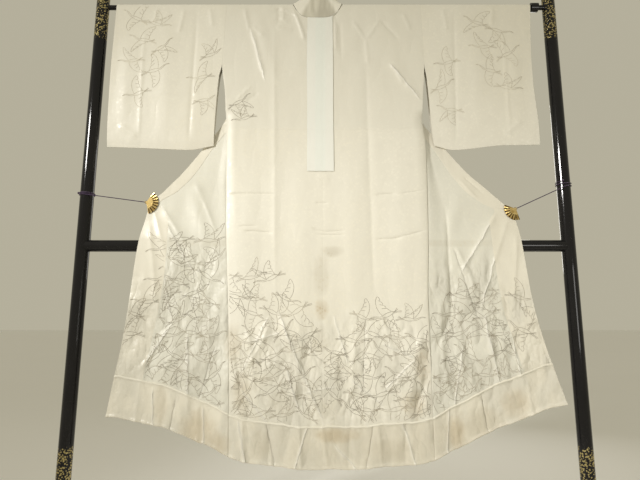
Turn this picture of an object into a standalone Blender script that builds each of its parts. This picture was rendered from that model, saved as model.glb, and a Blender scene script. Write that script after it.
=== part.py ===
"""An under-kimono of white figured silk, hung by its shoulders over the bar of a black lacquered
kimono stand and seen from its back. Two fan-shaped clips, tied to the stand's posts, draw its fronts
out sideways.

Metres, +Z up. The garment's back faces -Y, and left means -X. The origin is on the floor, midway
between the posts. Each sheet of cloth is a grid whose points follow from the tables below."""

import math
from collections import namedtuple

import bmesh
import bpy
from mathutils import Matrix, Vector

# Stand
POST_X = 0.700
POST_RADIUS = 0.019
POST_TOP = 1.720
DOME_HEIGHT = 0.011
FOOT_WIDTH = 0.055
FOOT_LENGTH = 0.380
FOOT_HEIGHT = 0.050
FOOT_EDGE = 0.012
BAR_RADIUS = 0.0075
FITTING_RADIUS = 0.014
FITTING_ENDS = (0.643, 0.665)
MIDDLE_BAR_RADIUS = 0.017
MIDDLE_BAR_Z = 0.833
ROUND_SIDES = 40

# Cloth
GAP = 0.0003
WALL = 0.0012
HEM_WALL = 0.0018
COLLAR_WALL = 0.0024
RIDGE_Z = 1.600
BAR_CLEARANCE = 0.0006
BEND_STEPS = 3
BEND_RADIUS = BAR_RADIUS + BAR_CLEARANCE + WALL / 2
QUARTER_BEND = BEND_RADIUS * math.pi / 2
BAR_Z = RIDGE_Z - WALL / 2 - BEND_RADIUS
ARMHOLE_Z = 1.395
SLIT_Z = 1.220
BAND_Z = 0.345
HEM_Z = 0.2375
COLLAR_TOP_Z = 1.565
COLLAR_END_Z = {"left": 0.957, "right": 0.935}
HEM_PARTING = 0.0005
ROW_STEP = 0.066
RIDGE_START = 0.0004
FRONT_SHARES = (0.0, 0.10, 0.28, 0.52, 0.76, 1.0)
CREASE_TURNS = 3
OUTER_COLUMNS = 7
BAND_COLUMNS = 3

# Neck, seen from the back: a hollow in the back panels' top edge
CENTRE_X = -0.008
NECK_X = -0.0256
NECK_HALF = 0.0797
NECK_DROP = 0.055
NECK_FADE = 0.16
NECK_SHARES = (0.34, 0.44, 0.57, 0.80, 0.94)

# Collar at the nape
COLLAR_CLEARANCE = 0.0009
COLLAR_BEND = 0.0104
COLLAR_LEAN = 0.110
COLLAR_HEIGHT = 0.072
COLLAR_END_HEIGHT = 0.024
COLLAR_ROWS = 6

# Collar-pull strip down the back
STRIP_WALL = 0.0010
STRIP_PROUD = 0.0020
STRIP_LEFT = (-0.0562, -0.0575)
STRIP_RIGHT = (0.0210, 0.0242)
STRIP_TOP = 0.0015
STRIP_Z = 1.049
STRIP_COLUMNS = 5

# The hem hangs higher towards the sides, because the fronts are drawn out
LIFT_START_Z = 1.000
LIFT_SPAN = 0.650
SEAM_REACH = 0.030

Side = namedtuple("Side", "sign lift_seam lift_edge lift_power")
SIDES = {
    "left": Side(-1, 0.029, 0.127, 1.65),
    "right": Side(1, 0.020, 0.160, 1.25),
}

# Outline by height: side seam, the crease where the front turns back on itself, the seam of the
# collar or of the edge band, and the free front edge
Outline = namedtuple("Outline", "z side_seam crease band_seam free_edge")
OUTLINES = {
    "left": (
        Outline(1.600, -0.3090, -0.1065, -0.1125, -0.1400),
        Outline(1.500, -0.3125, -0.1217, -0.1470, -0.1800),
        Outline(1.395, -0.3160, -0.1377, -0.1900, -0.2250),
        Outline(1.300, -0.3040, -0.1522, -0.2310, -0.2660),
        Outline(1.220, -0.2985, -0.1644, -0.2700, -0.3030),
        Outline(1.125, -0.2930, -0.1789, -0.3400, -0.3695),
        Outline(1.040, -0.2895, -0.1918, -0.3900, -0.4300),
        Outline(0.990, -0.2872, -0.1995, -0.4340, -0.4720),
        Outline(0.957, -0.2860, -0.2045, -0.4810, -0.5070),
        Outline(0.900, -0.2837, -0.2098, -0.4515, -0.5215),
        Outline(0.830, -0.2800, -0.2146, -0.4498, -0.5344),
        Outline(0.680, -0.2707, -0.2168, -0.4608, -0.5480),
        Outline(0.570, -0.2647, -0.2193, -0.4790, -0.5590),
        Outline(0.480, -0.2610, -0.2245, -0.4945, -0.5730),
        Outline(0.365, -0.2575, -0.2312, -0.5110, -0.5900),
        Outline(0.237, -0.2540, -0.2340, -0.5250, -0.6050),
    ),
    "right": (
        Outline(1.600, 0.2970, 0.0550, 0.0615, 0.0890),
        Outline(1.500, 0.2990, 0.0791, 0.1080, 0.1420),
        Outline(1.395, 0.3005, 0.1043, 0.1580, 0.1960),
        Outline(1.300, 0.2940, 0.1272, 0.2070, 0.2460),
        Outline(1.220, 0.2890, 0.1464, 0.2500, 0.2860),
        Outline(1.125, 0.2950, 0.1693, 0.3220, 0.3590),
        Outline(1.040, 0.2945, 0.1897, 0.3720, 0.4262),
        Outline(0.990, 0.2935, 0.2018, 0.4090, 0.4760),
        Outline(0.957, 0.2925, 0.2097, 0.4520, 0.5115),
        Outline(0.935, 0.2920, 0.2170, 0.4880, 0.5355),
        Outline(0.900, 0.2910, 0.2271, 0.4700, 0.5482),
        Outline(0.830, 0.2890, 0.2315, 0.4735, 0.5590),
        Outline(0.680, 0.2832, 0.2373, 0.4910, 0.5765),
        Outline(0.570, 0.2840, 0.2492, 0.5150, 0.5995),
        Outline(0.480, 0.2845, 0.2625, 0.5400, 0.6255),
        Outline(0.395, 0.2848, 0.2720, 0.5680, 0.6520),
        Outline(0.237, 0.2850, 0.2740, 0.6100, 0.6900),
    ),
}

# Y of the layers by height: the back, the front panel next to it, the same panel after its crease,
# and its free edge. Below the middle bar's top they all hang in front of that bar
Depth = namedtuple("Depth", "z back inner outer free")
DEPTHS = (
    Depth(BAR_Z, -BEND_RADIUS, BEND_RADIUS, 0.0102, 0.0102),
    Depth(1.540, -0.0092, 0.0086, 0.0130, 0.0135),
    Depth(ARMHOLE_Z, -0.0112, 0.0078, 0.0122, 0.0140),
    Depth(1.229, -0.0150, 0.0015, 0.0062, 0.0110),
    Depth(1.120, -0.0205, -0.0070, -0.0020, 0.0078),
    Depth(1.040, -0.0245, -0.0130, -0.0080, -0.0030),
    Depth(1.000, -0.0265, -0.0157, -0.0107, -0.0115),
    Depth(0.957, -0.0290, -0.0185, -0.0135, -0.0120),
    Depth(0.910, -0.0312, -0.0220, -0.0168, -0.0125),
    Depth(0.850, -0.0335, -0.0255, -0.0202, -0.0200),
    Depth(0.600, -0.0350, -0.0275, -0.0205, -0.0205),
    Depth(0.200, -0.0370, -0.0292, -0.0212, -0.0212),
)

# Sleeves: inner and cuff edges by height, bottom edge from the inner corner to the cuff, and the Y of
# both halves from the armhole's end down to the bottom seam
SleeveEdge = namedtuple("SleeveEdge", "z inner cuff")
SLEEVE_EDGES = {
    "left": (
        SleeveEdge(1.600, -0.3163, -0.6530),
        SleeveEdge(1.500, -0.3163, -0.6540),
        SleeveEdge(1.395, -0.3163, -0.6550),
        SleeveEdge(1.350, -0.3245, -0.6550),
        SleeveEdge(1.176, -0.3334, -0.6530),
        SleeveEdge(1.120, -0.3350, -0.6525),
    ),
    "right": (
        SleeveEdge(1.600, 0.3008, 0.6400),
        SleeveEdge(1.500, 0.3008, 0.6330),
        SleeveEdge(1.395, 0.3008, 0.6290),
        SleeveEdge(1.350, 0.3062, 0.6290),
        SleeveEdge(1.165, 0.3193, 0.6390),
        SleeveEdge(1.120, 0.3277, 0.6400),
    ),
}
SleeveHem = namedtuple("SleeveHem", "share z")
SLEEVE_HEMS = {
    "left": (
        SleeveHem(0.0, 1.1350),
        SleeveHem(0.23, 1.1226),
        SleeveHem(0.6, 1.1273),
        SleeveHem(1.0, 1.1320),
    ),
    "right": (
        SleeveHem(0.0, 1.1351),
        SleeveHem(0.17, 1.1226),
        SleeveHem(0.68, 1.1375),
        SleeveHem(1.0, 1.1385),
    ),
}
SleeveDepth = namedtuple("SleeveDepth", "share back front")
SLEEVE_DEPTHS = (
    SleeveDepth(0.0, -0.0112, 0.0078),
    SleeveDepth(0.35, -0.0106, 0.0074),
    SleeveDepth(0.70, -0.0090, 0.0060),
    SleeveDepth(0.90, -0.0050, 0.0032),
    SleeveDepth(1.0, -WALL / 2 - GAP / 2, WALL / 2 + GAP / 2),
)
SLEEVE_ROWS = (0.2, 0.4, 0.6, 0.76, 0.88, 0.95, 1.0)
SLEEVE_COLUMNS = 9

# The largest soft folds: from one end to the other, half width, and height towards the viewer
Fold = namedtuple("Fold", "x_top z_top x_low z_low half_width height")
BACK_FOLDS = (
    Fold(-0.215, 1.575, -0.155, 1.330, 0.018, 0.0030),
    Fold(0.120, 1.540, 0.110, 1.380, 0.018, -0.0020),
    Fold(0.190, 1.420, 0.270, 1.290, 0.020, 0.0030),
    Fold(-0.107, 0.570, -0.002, 0.360, 0.020, 0.0040),
    Fold(-0.185, 0.700, -0.150, 0.460, 0.022, 0.0030),
    Fold(0.110, 0.620, 0.165, 0.400, 0.022, 0.0030),
    Fold(0.262, 0.600, 0.215, 0.400, 0.020, 0.0035),
)
SIDE_FOLDS = (
    Fold(-0.470, 0.930, -0.375, 0.640, 0.024, 0.0045),
    Fold(-0.400, 1.010, -0.320, 0.800, 0.022, 0.0035),
    Fold(-0.530, 0.660, -0.440, 0.420, 0.026, -0.0035),
    Fold(-0.350, 0.560, -0.400, 0.330, 0.022, 0.0035),
    Fold(0.480, 0.900, 0.385, 0.640, 0.024, 0.0050),
    Fold(0.400, 1.000, 0.330, 0.820, 0.022, 0.0035),
    Fold(0.545, 0.800, 0.480, 0.560, 0.024, -0.0035),
    Fold(0.350, 0.600, 0.420, 0.370, 0.022, 0.0040),
    Fold(0.560, 0.560, 0.520, 0.390, 0.022, 0.0030),
)

# Clips and cords
LEAF_WALL = 0.0012
LEAF_Y = -0.0153
LEAF_RIBS = 8
RIB_HEIGHT = 0.0009
JAW_Y = -0.0094
JAW_LENGTH = 0.026
JAW_SPREAD = 60
PIN_RADIUS = 0.0022
RING_RADIUS = 0.0040
RING_WIRE = 0.0009
RING_REACH = RING_RADIUS - RING_WIRE - PIN_RADIUS - GAP
CORD_RADIUS = 0.00125
WRAP_RADIUS = POST_RADIUS + GAP + CORD_RADIUS + 0.0004
WRAP_STEPS = 20
WRAP_PITCH = 0.0032
KNOT_RADIUS = 0.0034

# A fan is plain near its pin, and ribbed beyond: share of its length, and of its ribs' height
FanRing = namedtuple("FanRing", "reach crest")
FAN_RINGS = (FanRing(0.04, 0.0), FanRing(0.50, 0.0), FanRing(0.58, 1.0), FanRing(1.0, 1.0))

# Each clip's pin is at (x, z), and its fan opens from there. Lean and spread are in degrees
Clip = namedtuple("Clip", "x z lean spread length")
CLIPS = {
    "left": Clip(-0.5195, 0.9590, -11, 132, 0.0350),
    "right": Clip(0.5490, 0.9395, 223.5, 127, 0.0335),
}
Tie = namedtuple("Tie", "post_z turns rise")
TIES = {"left": Tie(0.9820, 2.2, WRAP_PITCH), "right": Tie(1.0080, 1.9, 0.0075)}

Finish = namedtuple("Finish", "colour roughness metallic")
SILK = Finish((0.86, 0.83, 0.74), 0.45, 0.0)
STRIP_SILK = Finish((0.86, 0.86, 0.81), 0.5, 0.0)
LACQUER = Finish((0.008, 0.008, 0.010), 0.15, 0.0)
GOLD = Finish((0.83, 0.60, 0.22), 0.28, 1.0)
CORD = Finish((0.055, 0.020, 0.090), 0.7, 0.0)


def clear_scene():
    for existing in list(bpy.data.objects):
        bpy.data.objects.remove(existing)


def new_collection(name):
    collection = bpy.data.collections.new(name)
    bpy.context.scene.collection.children.link(collection)
    return collection


def add_material(obj, finish):
    material = bpy.data.materials.new(obj.name)
    material.use_nodes = True
    shader = material.node_tree.nodes["Principled BSDF"]
    shader.inputs["Base Color"].default_value = (*finish.colour, 1.0)
    shader.inputs["Roughness"].default_value = finish.roughness
    shader.inputs["Metallic"].default_value = finish.metallic
    material.diffuse_color = (*finish.colour, 1.0)
    obj.data.materials.append(material)


def mesh_object(name, shape, collection, smooth_angle=40):
    """An object from a bmesh, smooth but for edges sharper than the angle."""
    mesh = bpy.data.meshes.new(name)
    shape.to_mesh(mesh)
    shape.free()
    mesh.shade_smooth()
    mesh.set_sharp_from_angle(angle=math.radians(smooth_angle))
    obj = bpy.data.objects.new(name, mesh)
    collection.objects.link(obj)
    return obj


def read(table, column, at):
    """The column's value at `at`, on a smooth curve through the rows that never overshoots them."""
    keys = [row[0] for row in table]
    values = [getattr(row, column) for row in table]
    if keys[0] > keys[-1]:
        keys.reverse()
        values.reverse()
    if at <= keys[0]:
        return values[0]
    if at >= keys[-1]:
        return values[-1]
    slopes = [(values[i + 1] - values[i]) / (keys[i + 1] - keys[i]) for i in range(len(keys) - 1)]
    tangents = [slopes[0]]
    for before, after in zip(slopes, slopes[1:]):
        same_way = before * after > 0
        tangents.append(2 * before * after / (before + after) if same_way else 0.0)
    tangents.append(slopes[-1])
    i = max(k for k in range(len(keys) - 1) if keys[k] <= at)
    span = keys[i + 1] - keys[i]
    t = (at - keys[i]) / span
    rise = values[i] + t * t * (3 - 2 * t) * (values[i + 1] - values[i])
    return rise + span * t * (1 - t) * ((1 - t) * tangents[i] - t * tangents[i + 1])


def smooth_step(share):
    share = min(max(share, 0.0), 1.0)
    return share * share * (3 - 2 * share)


def drop_of(z):
    """Length of cloth from the ridge over the bar down to height z."""
    return QUARTER_BEND + BAR_Z - z


def z_of(drop):
    return BAR_Z + QUARTER_BEND - drop


def hang(x, drop, radius, depth):
    """A point of cloth bent over the bar with this signed radius, then hanging where depth(z) says."""
    if drop < QUARTER_BEND:
        angle = drop / BEND_RADIUS
        return Vector((x, radius * math.sin(angle), BAR_Z + abs(radius) * math.cos(angle)))
    z = z_of(drop)
    return Vector((x, depth(z), z))


def lifted(z, lift):
    """A height raised by this much at the hem, and by less and less above it."""
    return z + lift * smooth_step((LIFT_START_Z - z) / LIFT_SPAN)


def fold_height(folds, x, z):
    """How far the soft folds bring the cloth towards the viewer at this place."""
    total = 0.0
    for fold in folds:
        run = Vector((fold.x_low - fold.x_top, fold.z_low - fold.z_top))
        offset = Vector((x - fold.x_top, z - fold.z_top))
        along = offset.dot(run) / run.length_squared
        if 0 < along < 1:
            aside = abs(run.x * offset.y - run.y * offset.x) / run.length
            ridge = math.exp(-((aside / fold.half_width) ** 2))
            total += fold.height * ridge * math.sin(math.pi * along)
    return total


def seam_pull(distance, z, reach):
    """0 away from the side seam, 1 at it, where back and front meet below the open slit."""
    closed = smooth_step((SLIT_Z + 0.03 - z) / 0.03)
    return closed * max(0.0, 1 - distance / reach) ** 2


def seam_depth(z):
    return (read(DEPTHS, "back", z) + read(DEPTHS, "inner", z)) / 2


def neck_dip(across):
    """How far below the ridge the neck's edge lies, across running from -1 to 1."""
    return NECK_DROP * math.sqrt(1 - across**4) if abs(across) < 1 else 0.0


def neck_columns(sign):
    """Places across one half of the neck, from its end inwards. The first few follow its edge round
    the bar, where it rises steeply."""
    dips = steps(0.0, QUARTER_BEND, QUARTER_BEND / BEND_STEPS)
    dips += [NECK_DROP * share for share in NECK_SHARES]
    return [sign * (1 - (dip / NECK_DROP) ** 2) ** 0.25 for dip in dips]


def back_point(side, share, drop, wall=WALL, proud=0.0):
    """A point of the back, from the centre seam (share 0) to the side edge (share 1)."""
    outline = OUTLINES[side]
    top_x = CENTRE_X + share * (outline[0].side_seam - CENTRE_X)
    fade = max(0.0, 1 - drop / NECK_FADE) ** 2
    drop = drop + neck_dip((top_x - NECK_X) / NECK_HALF) * fade
    z = lifted(z_of(drop), SIDES[side].lift_seam * share**2)
    edge = read(outline, "side_seam", z)
    x = CENTRE_X + share * (edge - CENTRE_X)

    def depth(height):
        pull = seam_pull(abs(edge - x), height, SEAM_REACH)
        plain = read(DEPTHS, "back", height) - fold_height(BACK_FOLDS, x, height) * (1 - pull)
        seam = seam_depth(height) - wall / 2 - GAP / 2
        return plain + (seam - plain) * pull - proud

    return hang(x, drop_of(z), -BEND_RADIUS - proud, depth)


def front_heights(side, x, z):
    """Height of the front panel's row z at this x, which rises towards the free edge."""
    shape = SIDES[side]
    outline = OUTLINES[side]
    seam = read(outline, "side_seam", z)
    free = read(outline, "free_edge", lifted(z, shape.lift_edge))
    out = min(max((x - seam) / (free - seam), 0.0), 1.0) if shape.sign * (free - seam) > 0.01 else 0.0
    lift = shape.lift_seam + (shape.lift_edge - shape.lift_seam) * (1 - (1 - out) ** shape.lift_power)
    return lifted(z, lift), out


def inner_point(side, share, drop, wall):
    """A point of the front panel behind the back, from the side seam (0) to the crease (1)."""
    outline = OUTLINES[side]
    sign = SIDES[side].sign
    z = lifted(z_of(drop), SIDES[side].lift_seam)
    seam = read(outline, "side_seam", z)
    turn = crease_radius(z)
    crease = read(outline, "crease", z) + sign * turn
    x = seam + share * (crease - seam)
    reach = min(SEAM_REACH, 0.5 * abs(crease - seam))

    def depth(height):
        pull = seam_pull(abs(seam - x), height, reach)
        plain = read(DEPTHS, "inner", height)
        return plain + (seam_depth(height) + wall / 2 + GAP / 2 - plain) * pull

    return hang(x, drop_of(z), BEND_RADIUS, depth)


def crease_radius(z):
    top = min(z, BAR_Z)
    return (read(DEPTHS, "outer", top) - read(DEPTHS, "inner", top)) / 2


def crease_point(side, angle, drop):
    """A point on the front panel's crease, half a turn from its inner to its outer layer."""
    sign = SIDES[side].sign
    z = lifted(z_of(drop), SIDES[side].lift_seam)
    turn = crease_radius(z)
    x = read(OUTLINES[side], "crease", z) + sign * turn * (1 - math.sin(angle))
    back = turn * (1 - math.cos(angle))
    return hang(x, drop_of(z), BEND_RADIUS + back, lambda height: read(DEPTHS, "inner", height) + back)


def outer_point(side, start, end, share, drop, gap=0.0):
    """A point of the front panel's outer layer between two of the outline's columns."""
    sign = SIDES[side].sign
    outline = OUTLINES[side]
    nominal = z_of(drop)
    ends = []
    for column in (start, end):
        x = read(outline, column, nominal)
        for _ in range(6):
            height, _out = front_heights(side, x, nominal)
            x = read(outline, column, height)
        ends.append(x + sign * crease_radius(height) if column == "crease" else x)
    x = ends[0] + sign * gap + share * (ends[1] - ends[0] - sign * gap)
    z, out = front_heights(side, x, nominal)

    def depth(height):
        layer = read(DEPTHS, "outer", height)
        layer += out * (read(DEPTHS, "free", height) - layer)
        return layer - min(1.0, out / 0.1) * fold_height(SIDE_FOLDS, x, height)

    return hang(x, drop_of(z), read(DEPTHS, "outer", BAR_Z), depth)


def sleeve_point(side, half, share, level):
    """A point of a sleeve's half: level is a drop down to the armhole's end, and past it, from 0 to 1,
    the share of the way down to the bottom seam."""
    edges = SLEEVE_EDGES[side]
    sewn = OUTLINES[side]
    kind, value = level
    if kind == "drop":
        z = min(z_of(value), RIDGE_Z)
    else:
        z = ARMHOLE_Z + value * (read(SLEEVE_HEMS[side], "z", share) - ARMHOLE_Z)
    at_body = read(sewn, "side_seam", z) + SIDES[side].sign * GAP
    inner = at_body if kind == "drop" else read(edges, "inner", z)
    x = inner + share * (read(edges, "cuff", z) - inner)
    if kind == "down":
        return Vector((x, read(SLEEVE_DEPTHS, half, value), z))
    column = "back" if half == "back" else "inner"
    sign = -1 if half == "back" else 1
    return hang(x, value, sign * BEND_RADIUS, lambda height: read(DEPTHS, column, height))


def collar_point(across, share):
    """A point of the collar at the nape, from the neck's seam up. In the middle it stands, and at its
    ends it lies over the bar."""
    x = NECK_X + (NECK_HALF - COLLAR_CLEARANCE) * across
    start = neck_dip(across) - COLLAR_CLEARANCE
    middle = 1 - across**2
    height = COLLAR_END_HEIGHT + (COLLAR_HEIGHT - COLLAR_END_HEIGHT) * math.sqrt(middle)
    bend = COLLAR_BEND + COLLAR_LEAN * middle**2
    past = share * height - (start - QUARTER_BEND)
    if past <= 0:
        return Vector((x, -COLLAR_BEND, BAR_Z + past))
    angle = min(past / bend, math.pi)
    below = max(0.0, past - bend * math.pi)
    y = -COLLAR_BEND + bend * (1 - math.cos(angle))
    return Vector((x, y, BAR_Z + bend * math.sin(angle) - below))


def steps(start, end, longest):
    """Evenly spaced values from start to end, both included, no further apart than longest."""
    count = max(1, math.ceil(abs(end - start) / longest - 1e-6))
    return [start + (end - start) * i / count for i in range(count + 1)]


def body_drops(side, low_z, high_z=None):
    """The drops of a panel's rows, which every piece of that side shares, so that seams match."""
    keys = [drop_of(z) for z in (BAR_Z, COLLAR_TOP_Z, ARMHOLE_Z, SLIT_Z, COLLAR_END_Z[side], BAND_Z, HEM_Z)]
    drops = [RIDGE_START] + steps(0.0, QUARTER_BEND, QUARTER_BEND / BEND_STEPS)[1:]
    for start, end in zip(keys, keys[1:]):
        drops += steps(start, end, ROW_STEP)[1:]
    first = drop_of(high_z) if high_z else 0.0
    return [drop for drop in drops if first - 1e-6 <= drop <= drop_of(low_z) + 1e-6]


def shares_across_back(side):
    """Columns of a back panel, close together at the neck's ends and at the side seam."""
    top = OUTLINES[side][0].side_seam - CENTRE_X
    neck = [(NECK_X + NECK_HALF * across - CENTRE_X) / top for across in neck_columns(SIDES[side].sign)]
    neck.append((NECK_X - CENTRE_X) / top)
    inside = sorted(share for share in neck if share > 0.02)
    outer = steps(inside[-1], 1 - SEAM_REACH / abs(top), 0.145)
    seam = [1 - SEAM_REACH / abs(top) / 3, 1.0]
    return [GAP / 2 / abs(top)] + inside + outer[1:] + seam


def cloth(name, columns, rows, place, wall, collection, finish=SILK):
    """A wall of cloth: a grid whose vertices go where place(column, row) says, thickened about it."""
    grid = bmesh.new()
    across, down = len(columns) - 1, len(rows) - 1
    bmesh.ops.create_grid(grid, x_segments=across, y_segments=down, size=1.0)
    for vertex in grid.verts:
        column = columns[round((vertex.co.x + 1) / 2 * across)]
        row = rows[round((1 - vertex.co.y) / 2 * down)]
        vertex.co = place(column, row)
    obj = mesh_object(name, grid, collection, smooth_angle=50)
    thicken = obj.modifiers.new("Wall", "SOLIDIFY")
    thicken.thickness = wall
    thicken.offset = 0.0
    thicken.use_even_offset = True
    add_material(obj, finish)
    return obj


def add_back(side, collection):
    shares = shares_across_back(side)
    drops = body_drops(side, BAND_Z)
    hem = [drop_of(BAND_Z) + HEM_PARTING] + body_drops(side, HEM_Z, BAND_Z)[1:]

    def place(wall):
        return lambda share, drop: back_point(side, share, drop, wall)

    cloth(f"back_{side}", shares, drops, place(WALL), WALL, collection)
    cloth(f"hem_back_{side}", shares, hem, place(HEM_WALL), HEM_WALL, collection)


def front_columns():
    """Columns of a front panel's layers: (layer, share of the way across it)."""
    inner = [("inner", share) for share in FRONT_SHARES]
    crease = [("crease", math.pi * i / CREASE_TURNS) for i in range(1, CREASE_TURNS)]
    outer = [("outer", share) for share in steps(0.0, 1.0, 1 / OUTER_COLUMNS)]
    return inner + crease + outer


def add_front(side, collection):
    """The front panel, the band along its edge, its collar and the hem across both."""
    end = COLLAR_END_Z[side]
    band_columns = [("band", share) for share in steps(0.0, 1.0, 1 / BAND_COLUMNS)]

    def place(wall):
        def point(column, drop):
            layer, value = column
            if layer == "inner":
                return inner_point(side, value, drop, wall)
            if layer == "crease":
                return crease_point(side, value, drop)
            if layer == "outer":
                return outer_point(side, "crease", "band_seam", value, drop)
            return outer_point(side, "band_seam", "free_edge", value, drop, GAP)

        return point

    drops = body_drops(side, BAND_Z)
    hem = [drop_of(BAND_Z) + HEM_PARTING] + body_drops(side, HEM_Z, BAND_Z)[1:]
    band = [drop_of(end) + GAP] + body_drops(side, BAND_Z, end)[1:]
    collar = body_drops(side, end, COLLAR_TOP_Z)
    columns = front_columns()
    cloth(f"front_{side}", columns, drops, place(WALL), WALL, collection)
    cloth(f"hem_front_{side}", columns + band_columns[1:], hem, place(HEM_WALL), HEM_WALL, collection)
    cloth(f"edge_band_{side}", band_columns, band, place(WALL), WALL, collection)
    cloth(f"collar_{side}", band_columns, collar, place(WALL), COLLAR_WALL, collection)


def add_sleeve(side, half, collection):
    drops = body_drops(side, ARMHOLE_Z)
    levels = [("drop", drop) for drop in drops] + [("down", share) for share in SLEEVE_ROWS]

    def place(share, level):
        return sleeve_point(side, half, share, level)

    cloth(f"sleeve_{side}_{half}", steps(0.0, 1.0, 1 / SLEEVE_COLUMNS), levels, place, WALL, collection)


def add_collar_nape(collection):
    columns = neck_columns(-1)[BEND_STEPS:] + [0.0] + neck_columns(1)[: BEND_STEPS - 1 : -1]
    cloth("collar_nape", columns, steps(0.0, 1.0, 1 / COLLAR_ROWS), collar_point, COLLAR_WALL, collection)


def add_nape_strip(collection):
    """The strip lies on both back panels, so its points are theirs, moved out."""
    top_span = {side: OUTLINES[side][0].side_seam - CENTRE_X for side in SIDES}

    def place(share, drop):
        down = (drop - STRIP_TOP) / (drop_of(STRIP_Z) - STRIP_TOP)
        left = STRIP_LEFT[0] + down * (STRIP_LEFT[1] - STRIP_LEFT[0])
        right = STRIP_RIGHT[0] + down * (STRIP_RIGHT[1] - STRIP_RIGHT[0])
        x = left + share * (right - left)
        side = "left" if x < CENTRE_X else "right"
        return back_point(side, (x - CENTRE_X) / top_span[side], drop, proud=STRIP_PROUD)

    drops = [STRIP_TOP] + body_drops("left", STRIP_Z)[1:] + [drop_of(STRIP_Z)]
    cloth("nape_strip", steps(0.0, 1.0, 1 / STRIP_COLUMNS), drops, place, STRIP_WALL, collection, STRIP_SILK)


def turned(name, profile, axis, place, collection, finish):
    """A turned piece: a profile of (radius, distance along the axis) from its far end to its near one."""
    shape = bmesh.new()
    points = [shape.verts.new((radius, 0.0, along)) for radius, along in profile]
    for start, end in zip(points, points[1:]):
        shape.edges.new((start, end))
    obj = mesh_object(name, shape, collection)
    obj.matrix_world = place @ Vector((0, 0, 1)).rotation_difference(axis).to_matrix().to_4x4()
    screw = obj.modifiers.new("Turn", "SCREW")
    screw.axis = "Z"
    screw.steps = ROUND_SIDES
    screw.render_steps = ROUND_SIDES
    screw.use_merge_vertices = True
    screw.merge_threshold = 0.0001
    add_material(obj, finish)
    return obj


def add_post(side, collection):
    bottom = FOOT_HEIGHT + GAP
    profile = [(0.0, POST_TOP)]
    for angle in (math.radians(30), math.radians(60), math.radians(90)):
        fall = DOME_HEIGHT * (1 - math.cos(angle))
        profile.append((POST_RADIUS * math.sin(angle), POST_TOP - fall))
    profile += [(POST_RADIUS, bottom), (0.0, bottom)]
    place = Matrix.Translation((SIDES[side].sign * POST_X, 0, 0))
    turned(f"post_{side}", profile, Vector((0, 0, 1)), place, collection, LACQUER)


def add_bars(collection, cutters):
    """Both bars run into the posts, so their ends are cut to fit the posts' round sides."""
    reach = POST_X - POST_RADIUS / 2
    start, end = FITTING_ENDS
    top = [(0.0, reach), (BAR_RADIUS, reach), (BAR_RADIUS, end), (FITTING_RADIUS, end)]
    top += [(FITTING_RADIUS, start), (BAR_RADIUS, start), (BAR_RADIUS, -reach), (0.0, -reach)]
    middle = [(0.0, reach), (MIDDLE_BAR_RADIUS, reach), (MIDDLE_BAR_RADIUS, -reach), (0.0, -reach)]
    bars = []
    for name, profile, z in (("bar_top", top, BAR_Z), ("bar_middle", middle, MIDDLE_BAR_Z)):
        place = Matrix.Translation((0, 0, z))
        bars.append(turned(name, profile, Vector((1, 0, 0)), place, collection, LACQUER))
    for side, shape in SIDES.items():
        bpy.ops.mesh.primitive_cylinder_add(
            vertices=ROUND_SIDES,
            radius=POST_RADIUS + GAP,
            depth=POST_TOP,
            location=(shape.sign * POST_X, 0, POST_TOP / 2 + 0.1),
        )
        cutter = bpy.context.object
        cutter.name = f"post_cutter_{side}"
        cutter.hide_render = True
        cutter.display_type = "WIRE"
        for owner in cutter.users_collection:
            owner.objects.unlink(cutter)
        cutters.objects.link(cutter)
        for bar in bars:
            cut = bar.modifiers.new(f"Cut {side}", "BOOLEAN")
            cut.operation = "DIFFERENCE"
            cut.object = cutter


def add_foot(side, collection):
    shape = bmesh.new()
    bmesh.ops.create_cube(shape, size=1.0)
    bmesh.ops.scale(shape, verts=shape.verts, vec=(FOOT_WIDTH, FOOT_LENGTH, FOOT_HEIGHT))
    upper = [edge for edge in shape.edges if sum(v.co.z > 0 for v in edge.verts) >= 1]
    bmesh.ops.bevel(shape, geom=upper, offset=FOOT_EDGE, segments=4, affect="EDGES", profile=0.5)
    obj = mesh_object(f"foot_{side}", shape, collection)
    obj.location = (SIDES[side].sign * POST_X, 0, FOOT_HEIGHT / 2)
    add_material(obj, LACQUER)


def fan(name, clip, spread, length, y, rib_height, collection):
    """A fan's leaf in the XZ plane, with ribs that stand this much proud."""
    columns = range(2 * LEAF_RIBS + 1)

    def place(column, ring):
        angle = math.radians(clip.lean + (column / columns[-1] - 0.5) * spread)
        rise = rib_height * ring.crest * (column % 2)
        radius = length * ring.reach
        return Vector((clip.x + radius * math.cos(angle), y - rise, clip.z + radius * math.sin(angle)))

    cloth(name, columns, FAN_RINGS, place, LEAF_WALL, collection, GOLD)


def post_touch(side):
    """Where the cord's centre line first comes to the post."""
    return Vector((SIDES[side].sign * POST_X, -WRAP_RADIUS, TIES[side].post_z))


def ring_centre(side):
    """The ring hangs on the clip's pin, between the leaf and the jaw, and is drawn towards the post."""
    pin = Vector((CLIPS[side].x, (LEAF_Y + JAW_Y) / 2, CLIPS[side].z))
    pull = post_touch(side) - pin
    pull.y = 0.0
    return pin + pull.normalized() * RING_REACH


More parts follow.
